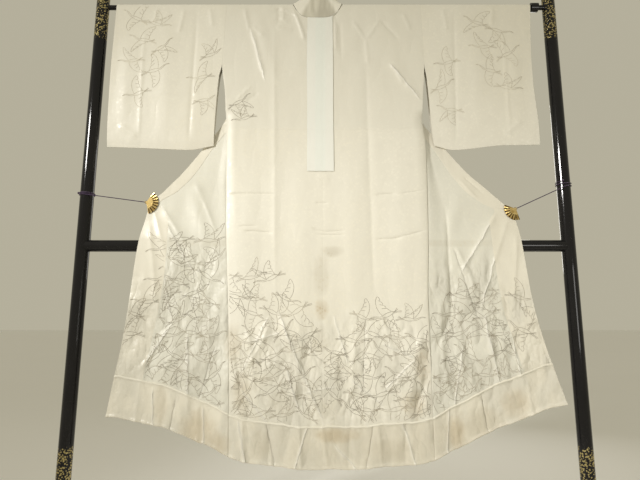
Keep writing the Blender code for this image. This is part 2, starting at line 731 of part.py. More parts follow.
def add_clip(side, collection):
    clip = CLIPS[side]
    fan(f"clip_{side}_leaf", clip, clip.spread, clip.length, LEAF_Y, RIB_HEIGHT, collection)
    fan(f"clip_{side}_jaw", clip, JAW_SPREAD, JAW_LENGTH, JAW_Y, 0.0, collection)
    low, high = LEAF_Y + LEAF_WALL / 2 + GAP, JAW_Y - LEAF_WALL / 2 - GAP
    profile = [(0.0, high), (PIN_RADIUS, high), (PIN_RADIUS, low), (0.0, low)]
    place = Matrix.Translation((clip.x, 0, clip.z))
    turned(f"clip_{side}_pin", profile, Vector((0, 1, 0)), place, collection, GOLD)
    bpy.ops.mesh.primitive_torus_add(
        major_radius=RING_RADIUS,
        minor_radius=RING_WIRE,
        major_segments=24,
        minor_segments=8,
        location=ring_centre(side),
        rotation=(math.radians(90), 0, 0),
    )
    ring = bpy.context.object
    ring.name = f"clip_{side}_ring"
    ring.data.shade_smooth()
    for owner in ring.users_collection:
        owner.objects.unlink(ring)
    collection.objects.link(ring)
    add_material(ring, GOLD)


def tie_route(side):
    """The cord's centre line: from the clip's ring straight to the post, then round it."""
    tie, sign = TIES[side], SIDES[side].sign
    ring = ring_centre(side)
    touch = post_touch(side)
    start = ring + (touch - ring).normalized() * (RING_RADIUS + RING_WIRE + GAP)
    route = [start.lerp(touch, i / 12) for i in range(12)]
    for i in range(round(tie.turns * WRAP_STEPS) + 1):
        angle = 2 * math.pi * i / WRAP_STEPS
        x = touch.x + sign * WRAP_RADIUS * math.sin(angle)
        z = tie.post_z + tie.rise * angle / (2 * math.pi)
        route.append(Vector((x, -WRAP_RADIUS * math.cos(angle), z)))
    return route


def add_cord(side, collection):
    route = tie_route(side)
    curve = bpy.data.curves.new(f"cord_{side}", "CURVE")
    curve.dimensions = "3D"
    curve.bevel_depth = CORD_RADIUS
    curve.bevel_resolution = 2
    curve.use_fill_caps = True
    line = curve.splines.new("POLY")
    line.points.add(len(route) - 1)
    for point, place in zip(line.points, route):
        point.co = (*place, 1.0)
    obj = bpy.data.objects.new(f"cord_{side}", curve)
    collection.objects.link(obj)
    add_material(obj, CORD)
    onward = (route[-1] - route[-2]).normalized()
    knot = bmesh.new()
    bmesh.ops.create_uvsphere(knot, u_segments=12, v_segments=8, radius=KNOT_RADIUS)
    ball = mesh_object(f"cord_{side}_knot", knot, collection, smooth_angle=80)
    outward = Vector((route[-1].x - SIDES[side].sign * POST_X, route[-1].y, 0)).normalized()
    ball.location = route[-1] + onward * (KNOT_RADIUS + GAP) + outward * (KNOT_RADIUS - CORD_RADIUS)
    add_material(ball, CORD)


def build():
    clear_scene()
    parts = new_collection("under_kimono_on_stand")
    cutters = new_collection("cutters")
    for side in SIDES:
        add_foot(side, parts)
        add_post(side, parts)
        add_back(side, parts)
        add_front(side, parts)
        for half in ("back", "front"):
            add_sleeve(side, half, parts)
        add_clip(side, parts)
        add_cord(side, parts)
    add_collar_nape(parts)
    add_nape_strip(parts)
    add_bars(parts, cutters)


build()
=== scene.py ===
"""The looks of a white figured silk under-kimono, hung over the bar of a black lacquered kimono stand
and seen from its back.

Metres, +Z up. The garment's back faces -Y, and left means -X. Each sheet of cloth follows the same
tables as the solids, with its seams, creases and printed cranes added."""

import math
from collections import namedtuple
from functools import lru_cache

import bpy
import numpy as np
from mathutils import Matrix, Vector


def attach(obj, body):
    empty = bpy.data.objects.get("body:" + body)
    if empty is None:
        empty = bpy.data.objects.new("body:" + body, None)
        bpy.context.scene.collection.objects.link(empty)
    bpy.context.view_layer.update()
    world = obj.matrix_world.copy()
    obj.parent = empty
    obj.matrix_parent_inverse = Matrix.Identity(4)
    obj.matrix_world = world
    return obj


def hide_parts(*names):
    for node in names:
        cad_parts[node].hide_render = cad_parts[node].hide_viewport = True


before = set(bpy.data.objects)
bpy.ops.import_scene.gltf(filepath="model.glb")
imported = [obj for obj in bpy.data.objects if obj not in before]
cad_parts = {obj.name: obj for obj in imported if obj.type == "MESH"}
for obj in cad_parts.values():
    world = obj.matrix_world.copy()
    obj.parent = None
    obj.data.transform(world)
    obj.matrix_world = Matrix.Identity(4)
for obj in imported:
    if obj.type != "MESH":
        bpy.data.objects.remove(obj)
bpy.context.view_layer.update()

# Camera: its place, tilt and angle of view
IMAGE_WIDTH = 640
CAMERA_PLACE = (0.0, -1.37, 0.621)
CAMERA_PITCH = 9.5
CAMERA_FOCAL_PIXELS = 480.7
CAMERA_OFFSET_PIXELS = 5.7

# Cloth. Its rows are told by the height at which they would hang if the cloth weren't bent over the bar,
# which is TOP_Z at the ridge
BAR_RADIUS = 0.0075
WALL = 0.0012
RIDGE_Z = 1.600
BAR_CLEARANCE = 0.0006
BEND_RADIUS = BAR_RADIUS + BAR_CLEARANCE + WALL / 2
QUARTER_BEND = BEND_RADIUS * math.pi / 2
BAR_Z = RIDGE_Z - WALL / 2 - BEND_RADIUS
TOP_Z = BAR_Z + QUARTER_BEND
ARMHOLE_Z = 1.395
SLIT_Z = 1.220
LINING_Z = 1.182
BAND_Z = 0.345
HEM_Z = 0.2375
COLLAR_TOP_Z = 1.565
COLLAR_END_Z = {"left": 0.957, "right": 0.935}

# The shells that are seen, and each sheet's width and length as cut
SHELL = 0.0009
HEM_SHELL = 0.0015
COLLAR_SHELL = 0.0022
STRIP_SHELL = 0.0008

# Grids: the longest steps across and down the cloth. Fine steps lie at the lining's edge and at the creases
# pressed across the back. RIM_SHARE is how far into the outermost cells one more row or column lies
GRID_X = 0.0038
GRID_Z = 0.0048
FINE_Z = 0.0016
FINE_SPANS = ((1.186, 1.178), (1.002, 0.944), (0.892, 0.842))
BEND_STEP = 0.0017
CREASE_STEPS = 6
RIM_SHARE = 0.1
SEAM_SKIP = 0.005
NAPE_COLUMNS = 81
NAPE_REACH = 0.984
NAPE_STEP = 0.05
SLEEVE_BEND_STEP = 0.012

# Lengths of cloth that set how many columns and rows these panels have
BACK_WIDTH = 0.30
HIDDEN_WIDTH = 0.12
OUTER_WIDTH = 0.25
NARROW_WIDTH = 0.08
SLEEVE_WIDTH = 0.34
SLEEVE_UPPER = 0.21
SLEEVE_LOWER = 0.265

# How deep the stitches draw the cloth in, as shares of SEAM_GROOVE. LOW_GROOVE of that is left at the hem
SEAM_GROOVE = 0.0009
SEAM_WIDTH = 0.0024
CENTRE_GROOVE = 0.25
SLEEVE_GROOVE = 0.12
SIDE_GROOVE = 0.60
FRONT_GROOVE = 0.14
LOW_GROOVE = 0.30

# The hem band's rolled edges
BAND_ROLL = 0.0024
BAND_ROLL_WIDTH = 0.0022
BAND_EDGE = 0.0046
BAND_EDGE_ROWS = 5

# Beside the side seams the front panels lie flush with the back: wholly near the hem, and by a share on
# each side from the slit down. FLUSH_FAR is a share across the panel
FLUSH_Z = 0.620
FLUSH_SPAN = 0.160
FLUSH_STEP = 0.0012
FLUSH_FAR = 0.220
FLUSH_ABOVE = {"left": 0.25, "right": 0.80}
LAYER_GAP = 0.0010

# Lengths over which shapes blend. CREASE_FADE is a share of a crease, and EDGE_FADE a share of a panel
SEAM_REACH = 0.030
SLIT_FADE = 0.03
ARMHOLE_FADE = 0.05
CREASE_FADE = 0.22
EDGE_FADE = 0.1

# A front's rows rise outwards only where its free edge is this far beyond the side seam. A place on a
# rising row is found in rounds that draw closer to it
LEAST_SPAN = 0.01
EDGE_ROUNDS = 6
PLACE_ROUNDS = 12

# Neck
CENTRE_X = -0.008
NECK_X = -0.0256
NECK_HALF = 0.0797
NECK_DROP = 0.055
NECK_FADE = 0.16

# Collar at the nape
COLLAR_CLEARANCE = 0.0009
COLLAR_BEND = 0.0104
COLLAR_LEAN = 0.110
COLLAR_HEIGHT = 0.072
COLLAR_END_HEIGHT = 0.024

# Collar-pull strip down the back
STRIP_PROUD = 0.0020
STRIP_LEFT = (-0.0562, -0.0575)
STRIP_RIGHT = (0.0210, 0.0242)
STRIP_TOP = 0.0015
STRIP_Z = 1.049

# The hem rises from the middle of the back to the free front edges, and wavers a little
LIFT_START_Z = 1.000
LIFT_SPAN = 0.650
WAVES = ((0.0015, 43, 1), (0.0006, 97, 0), (0.0003, 211, 0))

Side = namedtuple("Side", "sign lift_seam lift_edge lift_power")
SIDES = {
    "left": Side(-1, 0.029, 0.127, 1.65),
    "right": Side(1, 0.020, 0.160, 1.25),
}


def rows_of(kind, *rows):
    """A table whose rows are all of this kind."""
    return tuple(kind(*row) for row in rows)


# Outline by height: side seam, the crease where the front turns back on itself, the seam of the
# collar or of the edge band, and the free front edge
Outline = namedtuple("Outline", "z side_seam crease band_seam free_edge")
OUTLINES = {
    "left": rows_of(
        Outline,
        (1.600, -0.3090, -0.1065, -0.1125, -0.1400),
        (1.500, -0.3125, -0.1217, -0.1470, -0.1800),
        (1.395, -0.3160, -0.1377, -0.1900, -0.2250),
        (1.300, -0.3040, -0.1522, -0.2310, -0.2660),
        (1.220, -0.2985, -0.1644, -0.2700, -0.3030),
        (1.125, -0.2930, -0.1789, -0.3400, -0.3695),
        (1.040, -0.2895, -0.1918, -0.3900, -0.4300),
        (0.990, -0.2872, -0.1995, -0.4340, -0.4720),
        (0.957, -0.2860, -0.2045, -0.4810, -0.5070),
        (0.900, -0.2837, -0.2098, -0.4515, -0.5215),
        (0.830, -0.2800, -0.2146, -0.4498, -0.5344),
        (0.680, -0.2707, -0.2168, -0.4608, -0.5480),
        (0.570, -0.2647, -0.2193, -0.4790, -0.5590),
        (0.480, -0.2610, -0.2245, -0.4945, -0.5730),
        (0.365, -0.2575, -0.2312, -0.5110, -0.5900),
        (0.237, -0.2540, -0.2340, -0.5250, -0.6050),
    ),
    "right": rows_of(
        Outline,
        (1.600, 0.2970, 0.0550, 0.0615, 0.0890),
        (1.500, 0.2990, 0.0791, 0.1080, 0.1420),
        (1.395, 0.3005, 0.1043, 0.1580, 0.1960),
        (1.300, 0.2940, 0.1272, 0.2070, 0.2460),
        (1.220, 0.2890, 0.1464, 0.2500, 0.2860),
        (1.125, 0.2950, 0.1693, 0.3220, 0.3590),
        (1.040, 0.2945, 0.1897, 0.3720, 0.4262),
        (0.990, 0.2935, 0.2018, 0.4090, 0.4760),
        (0.957, 0.2925, 0.2097, 0.4520, 0.5115),
        (0.935, 0.2920, 0.2170, 0.4880, 0.5355),
        (0.900, 0.2910, 0.2271, 0.4700, 0.5482),
        (0.830, 0.2890, 0.2315, 0.4735, 0.5590),
        (0.680, 0.2832, 0.2373, 0.4910, 0.5765),
        (0.570, 0.2840, 0.2492, 0.5150, 0.5995),
        (0.480, 0.2845, 0.2625, 0.5400, 0.6255),
        (0.395, 0.2848, 0.2720, 0.5680, 0.6520),
        (0.237, 0.2850, 0.2740, 0.6100, 0.6900),
    ),
}

# Stretches of a front panel's outer layer, each between two of the outline's edges
HIDDEN = ("crease", "side_seam")
PANEL = ("side_seam", "band_seam")
EDGE = ("band_seam", "free_edge")

# Y of the layers by height
Depth = namedtuple("Depth", "z back inner outer free")
DEPTHS = rows_of(
    Depth,
    (BAR_Z, -BEND_RADIUS, BEND_RADIUS, 0.0102, 0.0102),
    (1.540, -0.0092, 0.0086, 0.0130, 0.0135),
    (ARMHOLE_Z, -0.0112, 0.0078, 0.0122, 0.0140),
    (1.229, -0.0150, 0.0015, 0.0062, 0.0110),
    (1.120, -0.0205, -0.0070, -0.0020, 0.0078),
    (1.040, -0.0245, -0.0130, -0.0080, -0.0030),
    (1.000, -0.0265, -0.0157, -0.0107, -0.0115),
    (0.957, -0.0290, -0.0185, -0.0135, -0.0120),
    (0.910, -0.0312, -0.0220, -0.0168, -0.0125),
    (0.850, -0.0335, -0.0255, -0.0202, -0.0200),
    (0.600, -0.0350, -0.0275, -0.0205, -0.0205),
    (0.200, -0.0370, -0.0292, -0.0212, -0.0212),
)

# Sleeves: their edges by height, their bottom by share across, and Y of their halves by share down from
# the armhole
SleeveEdge = namedtuple("SleeveEdge", "z inner cuff")
SLEEVE_EDGES = {
    "left": rows_of(
        SleeveEdge,
        (1.600, -0.3163, -0.6530),
        (1.500, -0.3163, -0.6540),
        (1.395, -0.3163, -0.6550),
        (1.350, -0.3245, -0.6550),
        (1.176, -0.3334, -0.6530),
        (1.120, -0.3350, -0.6525),
    ),
    "right": rows_of(
        SleeveEdge,
        (1.600, 0.3008, 0.6400),
        (1.500, 0.3008, 0.6330),
        (1.395, 0.3008, 0.6290),
        (1.350, 0.3062, 0.6290),
        (1.165, 0.3193, 0.6390),
        (1.120, 0.3277, 0.6400),
    ),
}
SleeveHem = namedtuple("SleeveHem", "share z")
SLEEVE_HEMS = {
    "left": rows_of(
        SleeveHem,
        (0.0, 1.1350),
        (0.23, 1.1226),
        (0.6, 1.1273),
        (1.0, 1.1320),
    ),
    "right": rows_of(
        SleeveHem,
        (0.0, 1.1351),
        (0.17, 1.1226),
        (0.68, 1.1375),
        (1.0, 1.1385),
    ),
}
# The layer that each half of a sleeve follows down to the armhole, and the way it faces along Y
Half = namedtuple("Half", "layer faces")
HALVES = {"back": Half("back", -1), "front": Half("inner", 1)}
SleeveDepth = namedtuple("SleeveDepth", "share back front")
SLEEVE_DEPTHS = rows_of(
    SleeveDepth,
    (0.0, -0.0112, 0.0078),
    (0.35, -0.0106, 0.0074),
    (0.70, -0.0090, 0.0060),
    (0.90, -0.0050, 0.0032),
    (1.0, -WALL / 2, WALL / 2),
)

# Folds and creases: from one end to the other, half width, height towards the viewer, and how far the line
# bows sideways where it does. Folds are soft and creases have a sharp crest. BACK_FOLDS and SIDE_FOLDS are
# also in the solids
Crease = namedtuple("Crease", "x_top z_top x_low z_low half_width height bow sharp", defaults=(0.0, True))


def folds(*rows):
    return tuple(Crease(*row, 0.0, False) for row in rows)


BACK_FOLDS = folds(
    (-0.215, 1.575, -0.155, 1.330, 0.018, 0.0030),
    (0.120, 1.540, 0.110, 1.380, 0.018, -0.0020),
    (0.190, 1.420, 0.270, 1.290, 0.020, 0.0030),
    (-0.107, 0.570, -0.002, 0.360, 0.020, 0.0040),
    (-0.185, 0.700, -0.150, 0.460, 0.022, 0.0030),
    (0.110, 0.620, 0.165, 0.400, 0.022, 0.0030),
    (0.262, 0.600, 0.215, 0.400, 0.020, 0.0035),
)
# Wide, shallow drapes down the back
BACK_DRAPES = folds(
    (-0.230, 1.150, -0.215, 0.420, 0.030, 0.0022),
    (-0.075, 1.120, -0.060, 0.420, 0.032, 0.0026),
    (0.075, 1.120, 0.085, 0.420, 0.030, 0.0024),
    (0.215, 1.150, 0.205, 0.420, 0.030, 0.0024),
)
BACK_CREASES = BACK_FOLDS + BACK_DRAPES + rows_of(
    Crease,
    # Pressed along the cloth, from shoulder to knee
    (-0.161, 1.590, -0.138, 0.620, 0.0120, 0.0026),
    (0.121, 1.470, 0.134, 0.620, 0.0110, -0.0026),
    # Pressed across the cloth
    (-0.310, 0.980, -0.130, 0.980, 0.0024, -0.0026, 0.001),
    (-0.250, 0.883, -0.192, 0.885, 0.0024, -0.0020, 0.001),
    (-0.235, 0.870, -0.148, 0.864, 0.0026, -0.0030, 0.002),
    (0.140, 0.976, 0.207, 0.981, 0.0030, -0.0028, 0.001),
    (0.205, 0.979, 0.312, 0.997, 0.0024, -0.0024),
    (0.138, 0.846, 0.218, 0.850, 0.0034, -0.0030),
    (0.180, 0.846, 0.322, 0.884, 0.0026, -0.0030, -0.001),
    (-0.160, 1.372, -0.100, 1.365, 0.0040, -0.0016),
    (-0.159, 1.333, -0.098, 1.323, 0.0040, 0.0016),
    (-0.290, LINING_Z, 0.290, LINING_Z, 0.0035, 0.0014),
    # Wrinkles below the shoulders
    (-0.255, 1.588, -0.234, 1.499, 0.0043, 0.0033),
    (-0.234, 1.520, -0.188, 1.350, 0.0056, 0.0036, 0.003),
    (-0.149, 1.588, -0.147, 1.530, 0.0042, -0.0030, 0.001),
    (-0.136, 1.588, -0.130, 1.540, 0.0042, 0.0030, 0.001),
    (-0.157, 1.519, -0.098, 1.508, 0.0042, 0.0030, -0.004),
    (-0.230, 1.522, -0.188, 1.484, 0.0042, 0.0024),
    (-0.271, 1.272, -0.223, 1.324, 0.0042, 0.0025),
    (-0.240, 1.268, -0.202, 1.300, 0.0042, -0.0023),
    (-0.093, 1.560, -0.064, 1.465, 0.0043, 0.0036, 0.002),
    (0.030, 1.560, 0.031, 1.430, 0.0043, 0.0033),
    (0.044, 1.550, 0.048, 1.400, 0.0043, -0.0021),
    (0.080, 1.545, 0.126, 1.470, 0.0042, 0.0027),
    (0.170, 1.543, 0.122, 1.470, 0.0042, 0.0027),
    (0.124, 1.480, 0.128, 1.390, 0.0042, 0.0025),
    (0.168, 1.545, 0.228, 1.472, 0.0043, -0.0032),
    (0.193, 1.395, 0.237, 1.321, 0.0056, 0.0034, 0.004),
    (0.233, 1.327, 0.288, 1.281, 0.0050, 0.0032, 0.003),
    (0.235, 1.570, 0.262, 1.500, 0.0053, 0.0027, 0.003),
    # Fanned out below the neck
    (-0.150, 1.592, -0.080, 1.545, 0.0042, 0.0022, 0.003),
    (-0.160, 1.580, -0.096, 1.556, 0.0042, -0.0020, 0.002),
    (-0.162, 1.560, -0.110, 1.532, 0.0042, 0.0022, 0.002),
    (-0.106, 1.590, -0.064, 1.470, 0.0045, 0.0026, 0.002),
    (0.026, 1.575, 0.034, 1.520, 0.0042, -0.0024, 0.001),
    # Puckers across the centre seam
    (-0.030, 1.033, 0.014, 1.026, 0.0045, 0.0019),
    (-0.030, 0.954, 0.008, 0.953, 0.0026, -0.0024, -0.001),
    (-0.042, 0.880, 0.008, 0.867, 0.0028, -0.0024, -0.002),
    (-0.004, 0.867, 0.058, 0.871, 0.0026, -0.0022, 0.001),
    (-0.032, 0.861, 0.062, 0.861, 0.0026, -0.0022, -0.002),
    # Folds above the hem
    (-0.133, 0.645, -0.001, 0.348, 0.0110, 0.0052, -0.005),
    (-0.131, 0.645, -0.003, 0.350, 0.0036, 0.0041, -0.005),
    (-0.152, 0.620, -0.222, 0.484, 0.0042, 0.0043, 0.008),
    (-0.110, 0.500, -0.071, 0.385, 0.0038, 0.0035),
    (-0.045, 0.550, 0.014, 0.489, 0.0036, -0.0035, 0.004),
    (-0.205, 0.470, -0.150, 0.365, 0.0040, 0.0035, -0.004),
    (0.150, 0.560, 0.232, 0.500, 0.0038, 0.0038, 0.004),
    (0.232, 0.500, 0.160, 0.430, 0.0038, 0.0035, 0.004),
    (0.020, 0.500, 0.105, 0.470, 0.0036, -0.0029, -0.004),
    (0.085, 0.470, 0.040, 0.372, 0.0036, 0.0035),
    (-0.148, 0.612, -0.022, 0.350, 0.0090, -0.0043, 0.003),
    (0.316, 0.590, 0.232, 0.372, 0.0120, -0.0123, 0.006),
    (0.300, 0.545, 0.262, 0.372, 0.0090, 0.0058, 0.006),
    (0.258, 0.595, 0.222, 0.410, 0.0100, 0.0046, 0.003),
    (0.080, 0.570, 0.068, 0.470, 0.0075, 0.0052, 0.002),
    (-0.069, 0.560, -0.084, 0.395, 0.0085, 0.0052, 0.002),
    (0.148, 0.650, 0.192, 0.490, 0.0085, 0.0046, 0.003),
    (-0.216, 0.610, -0.188, 0.430, 0.0090, 0.0052, 0.002),
    (-0.252, 0.570, -0.226, 0.410, 0.0080, -0.0048, 0.002),
    (0.030, 0.530, 0.062, 0.390, 0.0080, -0.0039, 0.002),
    # Folds across the hem band
    (-0.222, 0.375, -0.212, 0.235, 0.0060, 0.0048),
    (-0.146, 0.365, -0.152, 0.235, 0.0055, -0.0035),
    (-0.072, 0.360, -0.064, 0.235, 0.0060, 0.0048),
    (-0.010, 0.360, 0.004, 0.235, 0.0055, 0.0039),
    (0.066, 0.360, 0.058, 0.235, 0.0055, -0.0035),
    (0.137, 0.365, 0.148, 0.235, 0.0060, 0.0048),
    (0.214, 0.370, 0.206, 0.235, 0.0060, -0.0039),
)
SIDE_FOLDS = folds(
    (-0.470, 0.930, -0.375, 0.640, 0.024, 0.0045),
    (-0.400, 1.010, -0.320, 0.800, 0.022, 0.0035),
    (-0.530, 0.660, -0.440, 0.420, 0.026, -0.0035),
    (-0.350, 0.560, -0.400, 0.330, 0.022, 0.0035),
    (0.480, 0.900, 0.385, 0.640, 0.024, 0.0050),
    (0.400, 1.000, 0.330, 0.820, 0.022, 0.0035),
    (0.545, 0.800, 0.480, 0.560, 0.024, -0.0035),
    (0.350, 0.600, 0.420, 0.370, 0.022, 0.0040),
    (0.560, 0.560, 0.520, 0.390, 0.022, 0.0030),
)
SIDE_CREASES = SIDE_FOLDS + rows_of(
    Crease,
    # Drawn out by the clips
    (-0.500, 0.945, -0.425, 0.690, 0.0085, 0.0028, 0.004),
    (-0.482, 0.957, -0.355, 0.755, 0.0090, 0.0039, 0.005),
    (-0.507, 0.905, -0.470, 0.640, 0.0075, 0.0033, 0.002),
    (-0.385, 1.030, -0.310, 0.860, 0.0080, 0.0033, 0.002),
    (0.532, 0.925, 0.448, 0.700, 0.0085, 0.0030, -0.004),
    (0.502, 0.935, 0.388, 0.760, 0.0090, 0.0039, -0.004),
    (0.546, 0.885, 0.520, 0.620, 0.0075, 0.0033),
    (0.388, 1.032, 0.442, 0.966, 0.0055, 0.0027),
    (0.405, 1.040, 0.458, 0.984, 0.0045, -0.0024),
    # Left side
    (-0.411, 0.745, -0.396, 0.585, 0.0065, -0.0030),
    (-0.385, 0.590, -0.368, 0.345, 0.0055, 0.0033),
    (-0.428, 0.610, -0.518, 0.472, 0.0075, 0.0036),
    (-0.405, 0.556, -0.448, 0.472, 0.0065, 0.0029),
    (-0.330, 0.720, -0.318, 0.480, 0.0080, 0.0033, 0.002),
    (-0.285, 0.700, -0.300, 0.460, 0.0080, -0.0027),
    # Right side
    (0.354, 0.655, 0.286, 0.520, 0.0085, -0.0065, 0.004),
    (0.346, 0.960, 0.352, 0.580, 0.0060, -0.0045),
    (0.366, 0.835, 0.422, 0.685, 0.0065, 0.0039, 0.003),
    (0.438, 0.645, 0.472, 0.435, 0.0075, 0.0036),
    (0.396, 0.610, 0.384, 0.425, 0.0075, -0.0032),
    (0.505, 0.610, 0.537, 0.430, 0.0075, 0.0033),
    (0.315, 0.700, 0.322, 0.470, 0.0080, 0.0030),
    # Hem band
    (-0.345, 0.420, -0.338, 0.250, 0.0060, 0.0032),
    (-0.430, 0.450, -0.440, 0.290, 0.0055, -0.0024),
    (-0.500, 0.475, -0.515, 0.310, 0.0060, 0.0032),
    (0.345, 0.420, 0.352, 0.250, 0.0060, 0.0032),
    (0.450, 0.440, 0.462, 0.280, 0.0055, -0.0027),
    (0.545, 0.470, 0.560, 0.330, 0.0060, 0.0032),
)
# Behind the back, in the layer next to it
HIDDEN_CREASES = folds(
    (-0.245, 0.950, -0.236, 0.450, 0.0200, 0.0020),
) + rows_of(
    Crease,
    (-0.275, 1.050, -0.262, 0.500, 0.0060, 0.0027),
    (-0.240, 1.520, -0.250, 1.250, 0.0080, 0.0030, 0.003),
    (0.268, 1.050, 0.264, 0.500, 0.0060, 0.0027),
    (0.225, 1.520, 0.240, 1.250, 0.0080, 0.0030, 0.003),
)
# Both halves of each sleeve
SLEEVE_CREASES = folds(
    (-0.480, 1.530, -0.492, 1.150, 0.0300, 0.0028),
    (-0.602, 1.500, -0.606, 1.160, 0.0220, 0.0020),
    (0.460, 1.530, 0.455, 1.150, 0.0300, 0.0026),
    (0.572, 1.500, 0.582, 1.160, 0.0220, 0.0020),
) + rows_of(
    Crease,
    (-0.400, 1.588, -0.409, 1.128, 0.0048, -0.0025),
    (0.400, 1.588, 0.388, 1.128, 0.0048, -0.0025),
    (-0.560, 1.520, -0.557, 1.140, 0.0048, 0.0019),
    (0.546, 1.540, 0.550, 1.150, 0.0048, 0.0019),
    (-0.645, 1.286, -0.345, 1.291, 0.0045, -0.0018),
    (0.322, 1.300, 0.632, 1.292, 0.0045, -0.0018),
    (-0.440, 1.588, -0.456, 1.490, 0.0070, 0.0030, 0.002),
    (-0.362, 1.588, -0.350, 1.515, 0.0065, 0.0027),
    (-0.522, 1.588, -0.532, 1.525, 0.0065, 0.0024),
    (0.362, 1.588, 0.374, 1.500, 0.0065, 0.0027, 0.002),
    (0.522, 1.588, 0.512, 1.520, 0.0065, 0.0027),
    (-0.620, 1.200, -0.560, 1.158, 0.0070, 0.0024),
    (0.590, 1.215, 0.530, 1.165, 0.0070, 0.0024),
)
# The collar at the nape, by x: half width and height towards the viewer
NapeFold = namedtuple("NapeFold", "x half_width height")
NAPE_FOLDS = rows_of(
    NapeFold,
    (-0.048, 0.0060, 0.0022),
    (-0.036, 0.0050, -0.0012),
    (0.004, 0.0080, -0.0014),
    (0.020, 0.0060, 0.0012),
)

# Printed cranes. A pose gives each wing's lean from the flight's line in degrees, and its length and
# sweep as shares of the bird's length
Pose = namedtuple("Pose", "near_lean near_length near_sweep far_lean far_length far_sweep")
POSES = rows_of(
    Pose,
    (98, 0.60, 0.20, -84, 0.50, 0.14),
    (112, 0.56, 0.22, -62, 0.54, 0.04),
    (74, 0.60, 0.04, -108, 0.52, 0.24),
    (104, 0.50, 0.18, 62, 0.56, 0.00),
    (88, 0.58, 0.12, -96, 0.56, 0.22),
    (-100, 0.54, 0.20, -58, 0.52, 0.02),
)
Crane = namedtuple("Crane", "x z lean size pose")
SLEEVE_CRANES = {
    "left": rows_of(
        Crane,
        (-0.588, 1.548, 24, 0.094, 0),
        (-0.524, 1.528, -18, 0.088, 3),
        (-0.560, 1.474, 8, 0.092, 1),
        (-0.506, 1.448, 32, 0.090, 5),
        (-0.590, 1.404, -12, 0.086, 2),
        (-0.522, 1.372, 14, 0.094, 4),
        (-0.566, 1.298, -22, 0.092, 0),
        (-0.352, 1.424, 20, 0.088, 3),
        (-0.376, 1.350, -14, 0.090, 1),
        (-0.368, 1.276, 10, 0.084, 5),
    ),
    "right": rows_of(
        Crane,
        (0.470, 1.532, 18, 0.092, 1),
        (0.532, 1.506, -20, 0.090, 5),
        (0.486, 1.450, -6, 0.090, 2),
        (0.556, 1.426, 26, 0.094, 0),
        (0.500, 1.372, 12, 0.088, 4),
        (0.548, 1.316, -16, 0.092, 3),
        (0.374, 1.398, -18, 0.086, 0),
        (0.350, 1.318, 22, 0.092, 2),
        (0.378, 1.246, 4, 0.088, 5),
    ),
}
BACK_CRANES = rows_of(Crane, (-0.262, 1.268, 28, 0.084, 5), (-0.240, 1.216, -20, 0.080, 3))

# The flocks above the hem band: the height that they reach, by x
FlockTop = namedtuple("FlockTop", "x z")
BACK_FLOCK = rows_of(
    FlockTop,
    (-0.290, 0.790),
    (-0.127, 0.740),
    (-0.060, 0.640),
    (-0.002, 0.560),
    (0.090, 0.640),
    (0.164, 0.685),
    (0.290, 0.590),
)
SIDE_FLOCKS = {
    "left": rows_of(FlockTop, (-0.560, 0.760), (-0.460, 0.840), (-0.290, 0.880)),
    "right": rows_of(FlockTop, (0.290, 0.640), (0.440, 0.740), (0.540, 0.700), (0.650, 0.600)),
}
BAND_FLOCK_Z = 0.560
FLOCK_SEED = 7
FLOCK_ROWS = 14
FLOCK_PITCH_X = 0.0616
FLOCK_PITCH_Z = 0.05152
FLOCK_JITTER = 0.014
FLOCK_LEAN = 42
FLOCK_SIZES = (0.080, 0.104)

# The printed lines
INK_WIDTH = 0.0008
INK_PROUD = 0.00028
INK_TAPER = 0.45
INK_STEP = 0.004
LINE_POINTS = 10

# Margins that the printed lines keep from seams and edges. SLEEVE_MARGIN is a share across a sleeve
CENTRE_MARGIN = 0.001
SIDE_MARGIN = 0.003
PANEL_MARGIN = 0.002
BAND_MARGIN = 0.004
CLIP_MARGIN = 0.035
SLEEVE_MARGIN = 0.01
BOTTOM_MARGIN = 0.006

# Colours. A pair is a material's darkest and lightest tone, and YELLOWED a factor for each channel
IVORY = (0.86, 0.83, 0.74)
WHITE = (0.86, 0.86, 0.81)
COOL_WHITE = (0.80, 0.84, 0.79)
# The side panels' silk: the back's ivory made darker, painted shade
AGED = (0.84, 0.80, 0.70)
SIDE_SHADE = (0.80, 0.785, 0.705)
WARM = (0.83, 0.795, 0.70)
# Painted highlight along the crest of a raised pressed line
CREST_HIGHLIGHT = (0.95, 0.93, 0.86)
# Patches of painted shade on the crumpled lower cloth
CRUMPLE_SHADE = (0.66, 0.635, 0.555)
YELLOWED = (0.955, 0.945, 0.915)
GREYED = (0.76, 0.735, 0.655)
# Tones of stains, which also tint the painted shadows of folds and of the middle bar
BROWN_STAIN_AND_SHADOW = (0.52, 0.42, 0.27)
GREY_STAIN_AND_SHADE = (0.58, 0.53, 0.42)
# Painted shade of the collar behind the neck
NAPE_SHADE = ((0.53, 0.50, 0.42), (0.68, 0.65, 0.55))
INK = ((0.230, 0.195, 0.140), (0.430, 0.380, 0.290))
PALE_INK = ((0.430, 0.380, 0.290), (0.620, 0.570, 0.450))
LACQUER = ((0.004, 0.004, 0.005), (0.013, 0.012, 0.013))
GOLD_LEAF = ((0.34, 0.27, 0.11), (0.66, 0.56, 0.27))
GILT = ((0.42, 0.29, 0.10), (0.80, 0.62, 0.28))
TARNISH = (0.055, 0.026, 0.010)
PURPLE = ((0.020, 0.008, 0.035), (0.085, 0.035, 0.125))
PURPLE_WORN = (0.14, 0.09, 0.17)
FLOOR = (0.93, 0.92, 0.90)
BACKDROP = (0.46, 0.43, 0.33)
LIGHT_COLOUR = (1.0, 0.98, 0.935)

